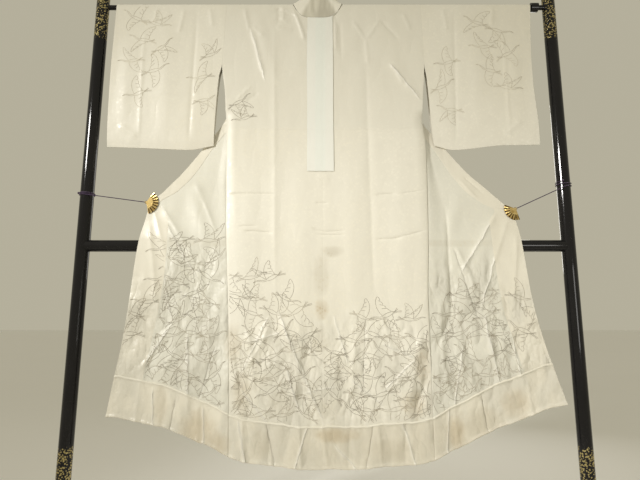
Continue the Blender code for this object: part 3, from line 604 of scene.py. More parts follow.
# Studio lights: place, what they face, size, spread in degrees and power
LIGHTS = (
    ("key", (-2.75, -2.50, 2.25), (0.14, 0.0, 0.72), 0.5, 38, 5.6),
    ("fill", (1.20, -1.70, 0.70), (0.10, 0.0, 0.90), 0.5, 120, 2.0),
    ("rim", (0.8, 1.7, 1.4), (0.0, 0.0, 0.9), 1.0, 160, 7.0),
)

# The posts' gold foliage lies above and below these heights
GOLD_TOP_Z = 1.484
GOLD_LOW_Z = 0.290
GOLD_EDGE = 0.003

# Periods of the woven figure and of its threads, depths of relief, and places of single tones and of the
# nape's painted shade
DAMASK_PERIOD = 0.017
WEAVE_PERIOD = 0.0009
STRAND_PERIOD = 0.0021
PUCKER_DEPTH = 0.0016
FINE_DEPTH = 0.00005
LACQUER_DEPTH = 0.00006
STRAND_DEPTH = 0.00035
FLOOR_DEPTH = 0.0001
STRIP_MIDDLE_X = -0.016
NAPE_SHADE_X = -0.020
NAPE_SHADE_Z = 1.603

# Zones are bands of heights with another tone, here painted shade. The back is greyer above the lining's
# edge, and a painted shadow of the middle bar shows faintly through the side panels
Zone = namedtuple("Zone", "z_top z_low soft colour strength")
LINING_ZONE = Zone(1.80, LINING_Z, 0.004, GREYED, 0.45)
BAR_ZONE = Zone(0.846, 0.828, 0.004, GREY_STAIN_AND_SHADE, 0.32)

# Stains, and painted shadows of the same form: their middle, half their width and height, tone and strength
Patch = namedtuple("Patch", "x z half_x half_z colour strength")
BACK_STAINS_AND_SHADOWS = rows_of(
    Patch,
    (0.018, 0.812, 0.036, 0.018, GREY_STAIN_AND_SHADE, 0.80),
    (-0.012, 0.745, 0.026, 0.070, GREY_STAIN_AND_SHADE, 0.62),
    (-0.012, 0.650, 0.022, 0.034, BROWN_STAIN_AND_SHADOW, 0.72),
    (-0.020, 0.570, 0.030, 0.040, GREY_STAIN_AND_SHADE, 0.45),
    (-0.255, 0.560, 0.030, 0.060, BROWN_STAIN_AND_SHADOW, 0.45),
    (-0.225, 0.430, 0.030, 0.060, BROWN_STAIN_AND_SHADOW, 0.45),
    (-0.120, 0.400, 0.045, 0.040, GREY_STAIN_AND_SHADE, 0.40),
    # Painted shadow along the deep fold on the right, not a stain
    (0.262, 0.500, 0.026, 0.060, BROWN_STAIN_AND_SHADOW, 0.50),
    (0.232, 0.400, 0.040, 0.045, BROWN_STAIN_AND_SHADOW, 0.50),
    (0.015, 0.390, 0.050, 0.030, GREY_STAIN_AND_SHADE, 0.40),
)
HEM_STAINS = rows_of(
    Patch,
    (0.180, 0.300, 0.400, 0.110, GREY_STAIN_AND_SHADE, 0.42),
    (-0.445, 0.395, 0.022, 0.060, BROWN_STAIN_AND_SHADOW, 0.22),
    (-0.345, 0.335, 0.060, 0.055, BROWN_STAIN_AND_SHADOW, 0.50),
    (-0.285, 0.300, 0.040, 0.035, BROWN_STAIN_AND_SHADOW, 0.45),
    (-0.170, 0.300, 0.030, 0.050, GREY_STAIN_AND_SHADE, 0.50),
    (0.025, 0.322, 0.070, 0.022, BROWN_STAIN_AND_SHADOW, 0.65),
    (0.170, 0.285, 0.070, 0.035, GREY_STAIN_AND_SHADE, 0.60),
    (0.345, 0.325, 0.032, 0.048, BROWN_STAIN_AND_SHADOW, 0.55),
    (0.425, 0.350, 0.060, 0.050, GREY_STAIN_AND_SHADE, 0.60),
    (0.510, 0.400, 0.046, 0.048, BROWN_STAIN_AND_SHADOW, 0.45),
)

# Thin pressed lines, drawn in the cloth's surface only
Line = namedtuple("Line", "x_top z_top x_low z_low half_width height")
BACK_LINES = rows_of(
    Line,
    (-0.137, 0.660, 0.004, 0.335, 0.0026, 0.0022),
    (-0.152, 0.640, -0.232, 0.470, 0.0030, 0.0020),
    (-0.111, 0.510, -0.068, 0.375, 0.0026, 0.0028),
    (-0.056, 0.560, 0.026, 0.480, 0.0024, -0.0020),
    (-0.210, 0.560, -0.118, 0.590, 0.0024, 0.0018),
    (-0.230, 0.440, -0.150, 0.350, 0.0028, 0.0024),
    (-0.060, 0.430, 0.030, 0.445, 0.0022, 0.0018),
    (0.020, 0.640, 0.062, 0.500, 0.0028, 0.0020),
    (0.148, 0.560, 0.245, 0.520, 0.0028, 0.0026),
    (0.245, 0.520, 0.150, 0.430, 0.0028, 0.0026),
    (0.110, 0.620, 0.100, 0.440, 0.0030, -0.0022),
    (0.060, 0.470, 0.160, 0.390, 0.0026, 0.0022),
    (-0.234, 1.520, -0.180, 1.330, 0.0030, 0.0022),
    (0.190, 1.400, 0.290, 1.270, 0.0030, 0.0024),
)
SIDE_LINES = rows_of(
    Line,
    (-0.500, 0.930, -0.420, 0.600, 0.0030, 0.0026),
    (-0.470, 0.920, -0.350, 0.720, 0.0030, 0.0024),
    (-0.425, 0.610, -0.520, 0.460, 0.0030, 0.0028),
    (-0.380, 0.600, -0.365, 0.340, 0.0028, 0.0026),
    (-0.300, 0.560, -0.345, 0.400, 0.0028, -0.0024),
    (0.520, 0.920, 0.430, 0.640, 0.0030, 0.0026),
    (0.495, 0.930, 0.372, 0.740, 0.0030, 0.0024),
    (0.360, 0.830, 0.425, 0.620, 0.0030, -0.0026),
    (0.440, 0.650, 0.475, 0.420, 0.0030, 0.0028),
    (0.380, 0.560, 0.340, 0.360, 0.0030, 0.0028),
    (0.510, 0.600, 0.540, 0.420, 0.0030, 0.0026),
)
HEM_LINES = rows_of(
    Line,
    (-0.470, 0.450, -0.455, 0.270, 0.0028, 0.0028),
    (-0.400, 0.420, -0.430, 0.260, 0.0030, -0.0026),
    (-0.330, 0.400, -0.318, 0.230, 0.0030, 0.0028),
    (-0.235, 0.370, -0.205, 0.230, 0.0030, 0.0030),
    (-0.160, 0.370, -0.130, 0.230, 0.0030, -0.0030),
    (-0.040, 0.365, -0.085, 0.230, 0.0028, 0.0032),
    (0.020, 0.300, 0.090, 0.230, 0.0030, 0.0022),
    (0.130, 0.365, 0.105, 0.230, 0.0030, -0.0026),
    (0.200, 0.370, 0.240, 0.230, 0.0030, 0.0028),
    (0.330, 0.400, 0.320, 0.240, 0.0030, 0.0028),
    (0.420, 0.430, 0.440, 0.280, 0.0030, -0.0026),
)

# Each clip's fan: its pin, which way it opens, its spread in degrees, length and ribs
Fan = namedtuple("Fan", "x z facing spread length ribs")
FANS = {
    "left": Fan(-0.5195, 0.9590, 1, 132, 0.0350, 8),
    "right": Fan(0.5490, 0.9395, -1, 127, 0.0335, 8),
}


@lru_cache(maxsize=None)
def curve(table, column):
    """Keys, values and tangents of a smooth curve through a table's rows that never overshoots them."""
    rows = sorted(table)
    keys = np.array([row[0] for row in rows])
    values = np.array([getattr(row, column) for row in rows])
    slopes = np.diff(values) / np.diff(keys)
    tangents = np.concatenate([slopes[:1], np.zeros(len(slopes) - 1), slopes[-1:]])
    for i, (before, after) in enumerate(zip(slopes, slopes[1:])):
        if before * after > 0:
            tangents[i + 1] = 2 * before * after / (before + after)
    return keys, values, tangents


def read(table, column, at):
    keys, values, tangents = curve(table, column)
    at = np.clip(at, keys[0], keys[-1])
    i = np.clip(np.searchsorted(keys, at, side="right") - 1, 0, len(keys) - 2)
    span = keys[i + 1] - keys[i]
    t = (at - keys[i]) / span
    rise = values[i] + t * t * (3 - 2 * t) * (values[i + 1] - values[i])
    return rise + span * t * (1 - t) * ((1 - t) * tangents[i] - t * tangents[i + 1])


def smooth_step(share):
    share = np.clip(share, 0.0, 1.0)
    return share * share * (3 - 2 * share)


def drop_of(z):
    """Length of cloth from the ridge over the bar down to height z."""
    return TOP_Z - z


def z_of(drop):
    return TOP_Z - drop


def points_of(x, y, z):
    return np.stack(np.broadcast_arrays(x, y, z), axis=-1)


def hang(x, drop, radius, depth):
    """Cloth bent over the bar with this signed radius, then hanging where depth(z) says."""
    bent = drop < QUARTER_BEND
    angle = np.minimum(drop, QUARTER_BEND) / BEND_RADIUS
    z = z_of(drop)
    y = np.where(bent, radius * np.sin(angle), depth(z))
    return points_of(x, y, np.where(bent, BAR_Z + abs(radius) * np.cos(angle), z))


def lifted(z, lift):
    """A height raised by this much at the hem, and by less and less above it."""
    return z + lift * smooth_step((LIFT_START_Z - z) / LIFT_SPAN)


def waver(x, z):
    """How far the band's seam and the hem's edge waver up and down."""
    return lifted(z, sum(height * np.sin(turns * x + start) for height, turns, start in WAVES)) - z


def relief(creases, x, z):
    """How far the creases bring the cloth towards the viewer at this place."""
    total = np.zeros(np.broadcast(x, z).shape)
    for crease in creases:
        run_x = crease.x_low - crease.x_top
        run_z = crease.z_low - crease.z_top
        length = math.hypot(run_x, run_z)
        along = np.clip(((x - crease.x_top) * run_x + (z - crease.z_top) * run_z) / length**2, 0.0, 1.0)
        aside = ((x - crease.x_top) * run_z - (z - crease.z_top) * run_x) / length
        arch = np.sin(np.pi * along)
        off = np.abs(aside + crease.bow * arch) / crease.half_width
        if crease.sharp:
            total += crease.height * np.exp(-off) * smooth_step(np.minimum(along, 1 - along) / CREASE_FADE)
        else:
            total += crease.height * np.exp(-(off**2)) * arch
    return total


def seam_pull(distance, z, reach):
    """0 away from the side seam, 1 at it, where back and front meet below the open slit."""
    closed = smooth_step((SLIT_Z + SLIT_FADE - z) / SLIT_FADE)
    return closed * np.maximum(0.0, 1 - distance / reach) ** 2


def seam_depth(z):
    return (read(DEPTHS, "back", z) + read(DEPTHS, "inner", z)) / 2


def stitched(distance):
    """The groove beside a seam, where its stitches draw the cloth in."""
    return SEAM_GROOVE * np.exp(-((distance / SEAM_WIDTH) ** 2))


def neck_dip(across):
    """How far below the ridge the neck's edge lies, across running from -1 to 1."""
    return NECK_DROP * np.maximum(0.0, 1 - across**4)


def back_depth(side, x, z):
    """Y of the back at a place where it hangs."""
    edge = read(OUTLINES[side], "side_seam", z)
    pull = seam_pull(np.abs(edge - x), z, SEAM_REACH)
    plain = read(DEPTHS, "back", z) - relief(BACK_CREASES, x, z) * (1 - pull)
    y = plain + (seam_depth(z) - WALL / 2 - plain) * pull
    sewn = SLEEVE_GROOVE + (SIDE_GROOVE - SLEEVE_GROOVE) * smooth_step((ARMHOLE_Z - z) / ARMHOLE_FADE)
    grooves = CENTRE_GROOVE * stitched(x - CENTRE_X) + sewn * stitched(x - edge)
    return y + grooves * (1 - (1 - LOW_GROOVE) * smooth_step((FLUSH_Z - z) / FLUSH_SPAN))


def back_point(side, share, drop, proud=0.0):
    """A point of the back, from the centre seam (share 0) to the side edge (1)."""
    outline = OUTLINES[side]
    top_x = CENTRE_X + share * (outline[0].side_seam - CENTRE_X)
    fade = np.maximum(0.0, 1 - drop / NECK_FADE) ** 2
    drop = drop + neck_dip((top_x - NECK_X) / NECK_HALF) * fade
    z = lifted(z_of(drop), SIDES[side].lift_seam * share**2)
    x = CENTRE_X + share * (read(outline, "side_seam", z) - CENTRE_X)
    z = z + waver(x, z)
    return hang(x, drop_of(z), -BEND_RADIUS - proud, lambda height: back_depth(side, x, height) - proud)


def front_lift(side, out):
    """How far a front panel's row rises here by the hem, out being 0 at the side seam and 1 at the free
    edge."""
    shape = SIDES[side]
    return shape.lift_seam + (shape.lift_edge - shape.lift_seam) * (1 - (1 - out) ** shape.lift_power)


def front_heights(side, x, z):
    """Height of the front panel's row z at this x, and how far out x lies, from 0 to 1."""
    outline = OUTLINES[side]
    seam = read(outline, "side_seam", z)
    free = read(outline, "free_edge", lifted(z, SIDES[side].lift_edge))
    beyond = SIDES[side].sign * (free - seam) > LEAST_SPAN
    out = np.where(beyond, np.clip((x - seam) / np.where(beyond, free - seam, 1.0), 0.0, 1.0), 0.0)
    return lifted(z, front_lift(side, out)) + waver(x, z), out


def inner_point(side, share, drop):
    """A point of the front panel behind the back, from the side seam (0) to the crease (1)."""
    outline = OUTLINES[side]
    z = lifted(z_of(drop), SIDES[side].lift_seam)
    seam = read(outline, "side_seam", z)
    crease = read(outline, "crease", z) + SIDES[side].sign * crease_radius(z)
    x = seam + share * (crease - seam)
    reach = np.minimum(SEAM_REACH, 0.5 * np.abs(crease - seam))

    def depth(height):
        pull = seam_pull(np.abs(seam - x), height, reach)
        plain = read(DEPTHS, "inner", height) + relief(HIDDEN_CREASES, x, height) * (1 - pull)
        return plain + (seam_depth(height) + WALL / 2 - plain) * pull

    return hang(x, drop_of(z), BEND_RADIUS, depth)


def crease_radius(z):
    top = np.minimum(z, BAR_Z)
    return (read(DEPTHS, "outer", top) - read(DEPTHS, "inner", top)) / 2


def crease_point(side, angle, drop):
    """A point on the front panel's crease, half a turn from its inner to its outer layer."""
    z = lifted(z_of(drop), SIDES[side].lift_seam)
    turn = crease_radius(z)
    x = read(OUTLINES[side], "crease", z) + SIDES[side].sign * turn * (1 - np.sin(angle))
    back = turn * (1 - np.cos(angle))
    return hang(x, drop_of(z), BEND_RADIUS + back, lambda height: read(DEPTHS, "inner", height) + back)


def outer_depth(side, x, z, out):
    """Y of a front panel's outer layer, out being 0 at the side seam and 1 at the free edge."""
    layer = read(DEPTHS, "outer", z)
    layer = layer + out * (read(DEPTHS, "free", z) - layer)
    seam = read(OUTLINES[side], "side_seam", z)
    beyond = SIDES[side].sign * (x - seam)
    reach = np.minimum(SEAM_REACH, 0.5 * np.abs(read(OUTLINES[side], "crease", z) - seam))
    away = smooth_step((FLUSH_FAR - out) / FLUSH_FAR)
    near = np.where(beyond < 0, seam_pull(np.abs(beyond), z, reach), away)
    above = FLUSH_ABOVE[side] * smooth_step((SLIT_Z - z) / FLUSH_SPAN)
    near = near * np.maximum(above, smooth_step((FLUSH_Z - z) / FLUSH_SPAN))
    behind = 1 - smooth_step(beyond / FLUSH_STEP)
    target = seam_depth(z) - WALL / 2 + behind * (WALL + SHELL + LAYER_GAP / 2)
    layer = layer + near * (target - layer)
    return layer - np.minimum(1.0, out / EDGE_FADE) * relief(SIDE_CREASES, x, z)


def outer_point(side, stretch, share, drop, proud=0.0):
    """A point of the front panel's outer layer, from one end of a stretch (0) to the other (1)."""
    outline = OUTLINES[side]
    nominal = z_of(drop)
    ends = []
    for column in stretch:
        x = read(outline, column, nominal)
        for _ in range(EDGE_ROUNDS):
            height, _out = front_heights(side, x, nominal)
            x = read(outline, column, height)
        ends.append(x + SIDES[side].sign * crease_radius(height) if column == "crease" else x)
    x = ends[0] + share * (ends[1] - ends[0])
    z, out = front_heights(side, x, nominal)
    shift = FRONT_GROOVE * stitched(x - ends[0 if stretch == EDGE else 1]) - proud
    over_bar = read(DEPTHS, "outer", BAR_Z)
    return hang(x, drop_of(z), over_bar, lambda height: outer_depth(side, x, height, out) + shift)


def outer_place(side, x, z):
    """Y of a front panel's outer layer at (x, z), and how far out it lies, from 0 to 1."""
    row = z
    for _ in range(PLACE_ROUNDS):
        height, out = front_heights(side, x, row)
        row = row + z - height
    return outer_depth(side, x, z, out), out


def sleeve_depth(side, half, x, z, share):
    """Y of a sleeve's half at a place where it hangs."""
    bottom = read(SLEEVE_HEMS[side], "z", share)
    down = (ARMHOLE_Z - z) / (ARMHOLE_Z - bottom)
    y = np.where(down > 0, read(SLEEVE_DEPTHS, half, down), read(DEPTHS, HALVES[half].layer, z))
    return y + HALVES[half].faces * relief(SLEEVE_CREASES, x, z) * np.clip((1 - down) / EDGE_FADE, 0.0, 1.0)


def sleeve_point(side, half, share, row):
    """A point of a sleeve's half. Rows 0 to 1 run from the ridge down to the armhole's end, and rows
    1 to 2 from there to the bottom seam."""
    edges = SLEEVE_EDGES[side]
    drop = np.minimum(row, 1.0) * drop_of(ARMHOLE_Z)
    below = np.maximum(row - 1.0, 0.0)
    bottom = read(SLEEVE_HEMS[side], "z", share)
    z = np.where(row <= 1, z_of(drop), ARMHOLE_Z + below * (bottom - ARMHOLE_Z))
    inner = np.where(row <= 1, read(OUTLINES[side], "side_seam", z), read(edges, "inner", z))
    x = inner + share * (read(edges, "cuff", z) - inner)
    radius = HALVES[half].faces * BEND_RADIUS
    return hang(x, drop_of(z), radius, lambda height: sleeve_depth(side, half, x, height, share))


def collar_point(across, share):
    """A point of the collar at the nape, from the neck's seam up. In the middle it stands, and at its
    ends it lies over the bar."""
    x = NECK_X + (NECK_HALF - COLLAR_CLEARANCE) * across
    start = neck_dip(across) - COLLAR_CLEARANCE
    middle = 1 - across**2
    height = COLLAR_END_HEIGHT + (COLLAR_HEIGHT - COLLAR_END_HEIGHT) * np.sqrt(middle)
    bend = COLLAR_BEND + COLLAR_LEAN * middle**2
    past = share * height - (start - QUARTER_BEND)
    angle = np.clip(past / bend, 0.0, math.pi)
    below = np.maximum(0.0, past - bend * math.pi)
    fold = sum(f.height * np.exp(-(((x - f.x) / f.half_width) ** 2)) for f in NAPE_FOLDS)
    y = -COLLAR_BEND + bend * (1 - np.cos(angle)) - fold * smooth_step(share * 2) * middle
    return points_of(x, y, BAR_Z + bend * np.sin(angle) - below + np.minimum(past, 0.0))


def steps(start, end, longest):
    """Evenly spaced values from start to end, both included, no further apart than longest."""
    count = max(1, math.ceil(abs(end - start) / longest - 1e-6))
    return np.linspace(start, end, count + 1)


def shares(width, start=0.0):
    """Even shares from start to 1 across a panel of this width, as one row."""
    return steps(start, 1.0, GRID_X / width)[None, :]


def join(*runs):
    """Several runs of values end to end, each starting where the last one ended."""
    return np.concatenate([runs[0]] + [run[1:] for run in runs[1:]])


def drops_between(high_z, low_z, fine=()):
    """The drops of a panel's rows, as one column. They lie closer together where the cloth bends over the
    bar and in the fine spans."""
    start, end = drop_of(high_z), drop_of(low_z)
    if start >= QUARTER_BEND:
        return steps(start, end, GRID_Z)[:, None]
    stops = [QUARTER_BEND, *(drop_of(z) for span in fine for z in span), end]
    runs = [steps(a, b, FINE_Z if i % 2 else GRID_Z) for i, (a, b) in enumerate(zip(stops, stops[1:]))]
    return join(steps(start, QUARTER_BEND, BEND_STEP), *runs)[:, None]


def band_rows():
    """The drops of the hem band's rows, closer together at its upper seam and its rolled lower edge."""
    top, low = drop_of(BAND_Z), drop_of(HEM_Z)
    fine = BAND_EDGE / BAND_EDGE_ROWS
    middle = steps(top + BAND_EDGE, low - BAND_EDGE, GRID_Z)
    return join(steps(top, top + BAND_EDGE, fine), middle, steps(low - BAND_EDGE, low, fine))[:, None]


def band_roll(drops):
    """How far the hem band stands proud along its upper seam and its rolled lower edge."""
    edges = (drop_of(BAND_Z) + BAND_EDGE / 2, drop_of(HEM_Z) - BAND_EDGE / 2)
    return sum(BAND_ROLL * np.exp(-(((drops - edge) / BAND_ROLL_WIDTH) ** 2)) for edge in edges)


def link(obj):
    bpy.context.scene.collection.objects.link(obj)
    return obj


def new_object(name, points, faces, material):
    mesh = bpy.data.meshes.new(name)
    mesh.from_pydata(points.tolist(), [], faces.tolist())
    mesh.shade_smooth()
    mesh.materials.append(material)
    return link(bpy.data.objects.new(name, mesh))


def bordered(points):
    """The grid with one more row or column close to each edge, which keeps the rim's shading narrow."""
    for _ in range(2):
        first = points[:1] + RIM_SHARE * (points[1:2] - points[:1])
        last = points[-1:] + RIM_SHARE * (points[-2:-1] - points[-1:])
        points = np.concatenate([points[:1], first, points[1:-1], last, points[-1:]]).swapaxes(0, 1)
    return points


def surface(name, points, material, edging=None):
    """A surface through a grid of points, rows by columns. Its first rows may have an edging's material."""
    rows, columns, _ = points.shape
    ids = np.arange(rows * columns).reshape(rows, columns)
    quads = np.stack([ids[:-1, :-1], ids[1:, :-1], ids[1:, 1:], ids[:-1, 1:]], axis=-1)
    obj = new_object(name, points.reshape(-1, 3), quads.reshape(-1, 4), material)
    if edging:
        obj.data.materials.append(edging)
        trimmed = np.arange(len(obj.data.polygons)) < (BAND_EDGE_ROWS + 1) * (columns - 1)
        obj.data.polygons.foreach_set("material_index", trimmed.astype(np.int32))
    return obj


def cloth(node, points, wall, material, edging=None):
    """A shell of cloth through a grid of points, which stands for a CAD node."""
    obj = surface(f"silk_{node}", bordered(points), material, edging)
    thicken = obj.modifiers.new("Wall", "SOLIDIFY")
    thicken.thickness = wall
    thicken.offset = 0.0
    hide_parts(node)
    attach(obj, "root")
    return obj


def add_hem(node, points, finish):
    cloth(node, points, HEM_SHELL, finish["hem"], edging=finish["edging"])


def add_backs(finish):
    for side in SIDES:
        cranes = scattered(BACK_FLOCK, SIDES[side].sign)
        if side == "left":
            cranes += BACK_CRANES
        lines = printed_on_back(f"cranes_back_{side}", side, cranes, finish["ink"])
        points = back_point(side, shares(BACK_WIDTH), drops_between(TOP_Z, BAND_Z, FINE_SPANS))
        cloth(f"back_{side}", points, SHELL, finish["back"])
        rows = band_rows()
        points = back_point(side, shares(BACK_WIDTH), rows, band_roll(rows))
        add_hem(f"hem_back_{side}", points, finish)


def front_grid(side, rows, with_band, proud=0.0):
    """Every column of a front panel: its inner layer, its crease and its outer layer."""
    angles = np.linspace(0, math.pi, CREASE_STEPS + 1)[None, 1:-1]
    grid = [
        inner_point(side, shares(HIDDEN_WIDTH), rows),
        crease_point(side, angles, rows),
        outer_point(side, HIDDEN, shares(HIDDEN_WIDTH), rows, proud),
        outer_point(side, PANEL, shares(OUTER_WIDTH, SEAM_SKIP), rows, proud),
    ]
    if with_band:
        grid.append(outer_point(side, EDGE, shares(NARROW_WIDTH)[:, 1:], rows, proud))
    return np.concatenate(grid, axis=1)


def add_fronts(finish):
    for side in SIDES:
        end = COLLAR_END_Z[side]
        cranes = scattered(SIDE_FLOCKS[side], SIDES[side].sign)
        panel = printed_on_front(f"cranes_front_{side}", side, PANEL, cranes, finish["ink"])
        cranes = tuple(crane for crane in cranes if crane.z > BAND_FLOCK_Z)[::2]
        strip = printed_on_front(f"cranes_band_{side}", side, EDGE, cranes, finish["ink"])
        points = front_grid(side, drops_between(TOP_Z, BAND_Z), False)
        cloth(f"front_{side}", points, SHELL, finish["side"])
        rows = band_rows()
        points = front_grid(side, rows, True, band_roll(rows))
        add_hem(f"hem_front_{side}", points, finish)
        rows = drops_between(end, BAND_Z)
        points = outer_point(side, EDGE, shares(NARROW_WIDTH), rows)
        cloth(f"edge_band_{side}", points, SHELL, finish["band"])
        rows = drops_between(COLLAR_TOP_Z, end)
        points = outer_point(side, EDGE, shares(NARROW_WIDTH), rows)
        cloth(f"collar_{side}", points, COLLAR_SHELL, finish["band"])


def add_sleeves(finish):
    bend = QUARTER_BEND / drop_of(ARMHOLE_Z)
    upper = steps(bend, 1.0, GRID_Z / SLEEVE_UPPER)
    rows = join(steps(0.0, bend, SLEEVE_BEND_STEP), upper, steps(1.0, 2.0, GRID_Z / SLEEVE_LOWER))[:, None]
    for side in SIDES:
        for half in HALVES:
            node = f"sleeve_{side}_{half}"
            lines = printed_on_sleeve(f"cranes_{node}", side, half, finish["pale_ink"])
            points = sleeve_point(side, half, shares(SLEEVE_WIDTH), rows)
            cloth(node, points, SHELL, finish["sleeve"])


def add_nape(finish):
    columns = np.sin(np.linspace(-1.0, 1.0, NAPE_COLUMNS) * math.asin(NAPE_REACH))[None, :]
    points = collar_point(columns, steps(0.0, 1.0, NAPE_STEP)[:, None])
    cloth("collar_nape", points, COLLAR_SHELL, finish["nape"])
    drops = drops_between(TOP_Z, STRIP_Z)
    down = (drops - STRIP_TOP) / (drop_of(STRIP_Z) - STRIP_TOP)
    left, right = (top + down * (low - top) for top, low in (STRIP_LEFT, STRIP_RIGHT))
    x = left + shares(NARROW_WIDTH) * (right - left)
    halves = {}
    for side in SIDES:
        span = OUTLINES[side][0].side_seam - CENTRE_X
        halves[side] = back_point(side, np.clip((x - CENTRE_X) / span, 0.0, 1.0), drops, STRIP_PROUD)
    points = np.where((x < CENTRE_X)[..., None], halves["left"], halves["right"])
    cloth("nape_strip", points, STRIP_SHELL, finish["strip"])


def smooth_line(*controls):
    """A smooth line that starts at the first control point, ends at the last and leans to the others."""
    controls = np.array(controls, float)
    degree = len(controls) - 1
    t = np.linspace(0.0, 1.0, LINE_POINTS)[:, None]
    return sum(math.comb(degree, i) * t**i * (1 - t) ** (degree - i) * c for i, c in enumerate(controls))


def wing_lines(front, rear, lean, length, sweep):
    """A wing's leading edge, its scalloped trailing edge and the feathers' quills."""
    front, rear = np.array(front), np.array(rear)
    turn = math.radians(lean)
    reach = length * np.array([math.cos(turn), math.sin(turn)])
    tip = front + reach - (sweep, 0.0)
    lead = smooth_line(front, front + 0.50 * reach + (0.10, 0.0), front + 0.88 * reach + (0.01, 0.0), tip)
    trail = smooth_line(tip, (tip + 2 * rear) / 3 + (0.10, 0.0), rear)
    lines = [lead]
    notches = trail[[0, 2, 4, 6, 8, 9]]
    for start, end in zip(notches, notches[1:]):
        lines.append(smooth_line(start, (start + end) / 2 - (0.055, 0.0), end)[::3])
    for i, notch in ((2, notches[1]), (4, notches[2]), (6, notches[3])):
        lines.append(np.linspace(notch, notch + 0.5 * (lead[-1 - i] - notch), 3))
    return lines


def crane_lines(pose):
    """A crane in flight, one unit from its beak to its feet: neck, beak, body, legs, tail and wings."""
    lines = [
        smooth_line((0.14, 0.02), (0.25, 0.02), (0.30, 0.10), (0.42, 0.12)),
        smooth_line((0.14, -0.02), (0.27, -0.03), (0.32, 0.07), (0.42, 0.10)),
        smooth_line((0.42, 0.12), (0.46, 0.125), (0.53, 0.10))[::3],
        smooth_line((0.42, 0.10), (0.46, 0.095), (0.53, 0.10))[::3],
        smooth_line((0.14, 0.02), (0.02, 0.07), (-0.14, 0.05), (-0.24, 0.0)),
        smooth_line((0.14, -0.02), (0.02, -0.08), (-0.12, -0.06), (-0.24, 0.0)),
        smooth_line((-0.20, -0.01), (-0.32, -0.01), (-0.45, -0.07)),
        smooth_line((-0.18, -0.03), (-0.32, -0.04), (-0.44, -0.10)),
        smooth_line((-0.24, 0.0), (-0.30, 0.03), (-0.36, 0.07))[::3],
        smooth_line((-0.24, 0.0), (-0.31, 0.01), (-0.38, 0.03))[::3],
    ]
    for lean, length, sweep in (pose[:3], pose[3:]):
        side = 1 if lean > 0 else -1
        lines += wing_lines((0.13, 0.02 * side), (-0.15, 0.035 * side), lean, length, sweep)
    return lines


def laid_out(crane, facing):
    """A crane's lines where it flies on the cloth, in metres. It flies to the left or to the right."""
    turn = math.radians(crane.lean)
    spin = np.array([[math.cos(turn), math.sin(turn)], [-math.sin(turn), math.cos(turn)]])
    for line in crane_lines(POSES[crane.pose]):
        line = line @ spin * crane.size * (facing, 1.0) + (crane.x, crane.z)
        reach = np.linalg.norm(np.diff(line, axis=0), axis=1)
        along = np.concatenate([[0.0], np.cumsum(reach)])
        places = steps(0.0, along[-1], INK_STEP)
        yield np.stack([np.interp(places, along, line[:, i]) for i in (0, 1)], axis=1)


def scattered(flock, sign):
    """A flock's cranes, on a loose grid from the hem band up to the height that the flock reaches. sign
    is the side's."""
    random = np.random.default_rng(FLOCK_SEED + sign + len(flock))
    edge = [row.x for row in flock]
    top = [row.z for row in flock]
    cranes = []
    for row in range(FLOCK_ROWS):
        for column in range(FLOCK_ROWS):
            x, z = random.uniform(-FLOCK_JITTER, FLOCK_JITTER, 2)
            lean = random.uniform(-FLOCK_LEAN, FLOCK_LEAN)
            size = random.uniform(*FLOCK_SIZES)
            pose = int(random.integers(len(POSES)))
            x += (column + 0.5 * (row % 2) - 1) * FLOCK_PITCH_X * sign
            z += BAND_Z + (row + 0.6) * FLOCK_PITCH_Z
            if min(edge) < x < max(edge) and z < np.interp(x, edge, top) and sign * (x - CENTRE_X) > 0:
                cranes.append(Crane(x, z, lean, size, pose))
    return tuple(cranes)


def ribbon(run, y, outwards):
    """Three rows of corners along a line on cloth at y. The middle one stands most proud."""
    along = np.gradient(run, axis=0)
    aside = np.stack([-along[:, 1], along[:, 0]], axis=1)
    aside *= INK_WIDTH / 2 / np.linalg.norm(aside, axis=1, keepdims=True)
    aside[[0, -1]] *= INK_TAPER
    y = y + outwards * (SHELL / 2 + INK_PROUD)
    rows = [(run - aside, y), (run, y + outwards * INK_PROUD), (run + aside, y)]
    return [points_of(place[:, 0], depth, place[:, 1]) for place, depth in rows]


def printed(name, cranes, lay, outwards, material):
    """Thin lines in low relief for some cranes. lay(x, z) gives the cloth's Y, and where it is bare."""
    lines = [line for number, crane in enumerate(cranes) for line in laid_out(crane, 1 if number % 2 else -1)]
    ends = np.cumsum([len(line) for line in lines])[:-1]
    places = np.concatenate(lines)
    depths, on_cloth = lay(places[:, 0], places[:, 1])
    corners, faces, count = [], [], 0
    for line, y, shown in zip(lines, np.split(depths, ends), np.split(on_cloth, ends)):
        runs = np.flatnonzero(np.diff(np.concatenate([[0], shown.astype(int), [0]])))
        for first, last in zip(runs[::2], runs[1::2]):
            if last - first < 2:
                continue
            corners += ribbon(line[first:last], y[first:last], outwards)
            ids = count + np.arange(3 * (last - first)).reshape(3, -1)
            for low, high in zip(ids, ids[1:]):
                quad = [low[:-1], low[1:], high[1:], high[:-1]]
                faces.append(np.stack(quad if outwards < 0 else quad[::-1], axis=1))
            count += ids.size
    obj = new_object(name, np.concatenate(corners), np.concatenate(faces), material)
    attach(obj, "root")
    return obj


def printed_on_back(name, side, cranes, material):
    def lay(x, z):
        edge = read(OUTLINES[side], "side_seam", z)
        share = np.clip((x - CENTRE_X) / (edge - CENTRE_X), 0.0, 1.0)
        floor = lifted(BAND_Z, SIDES[side].lift_seam * share**2) + BAND_MARGIN
        sign = SIDES[side].sign
        inside = (sign * (x - CENTRE_X) > CENTRE_MARGIN) & (sign * (edge - x) > SIDE_MARGIN)
        return back_depth(side, x, z), inside & (z > floor)

    return printed(name, cranes, lay, -1, material)


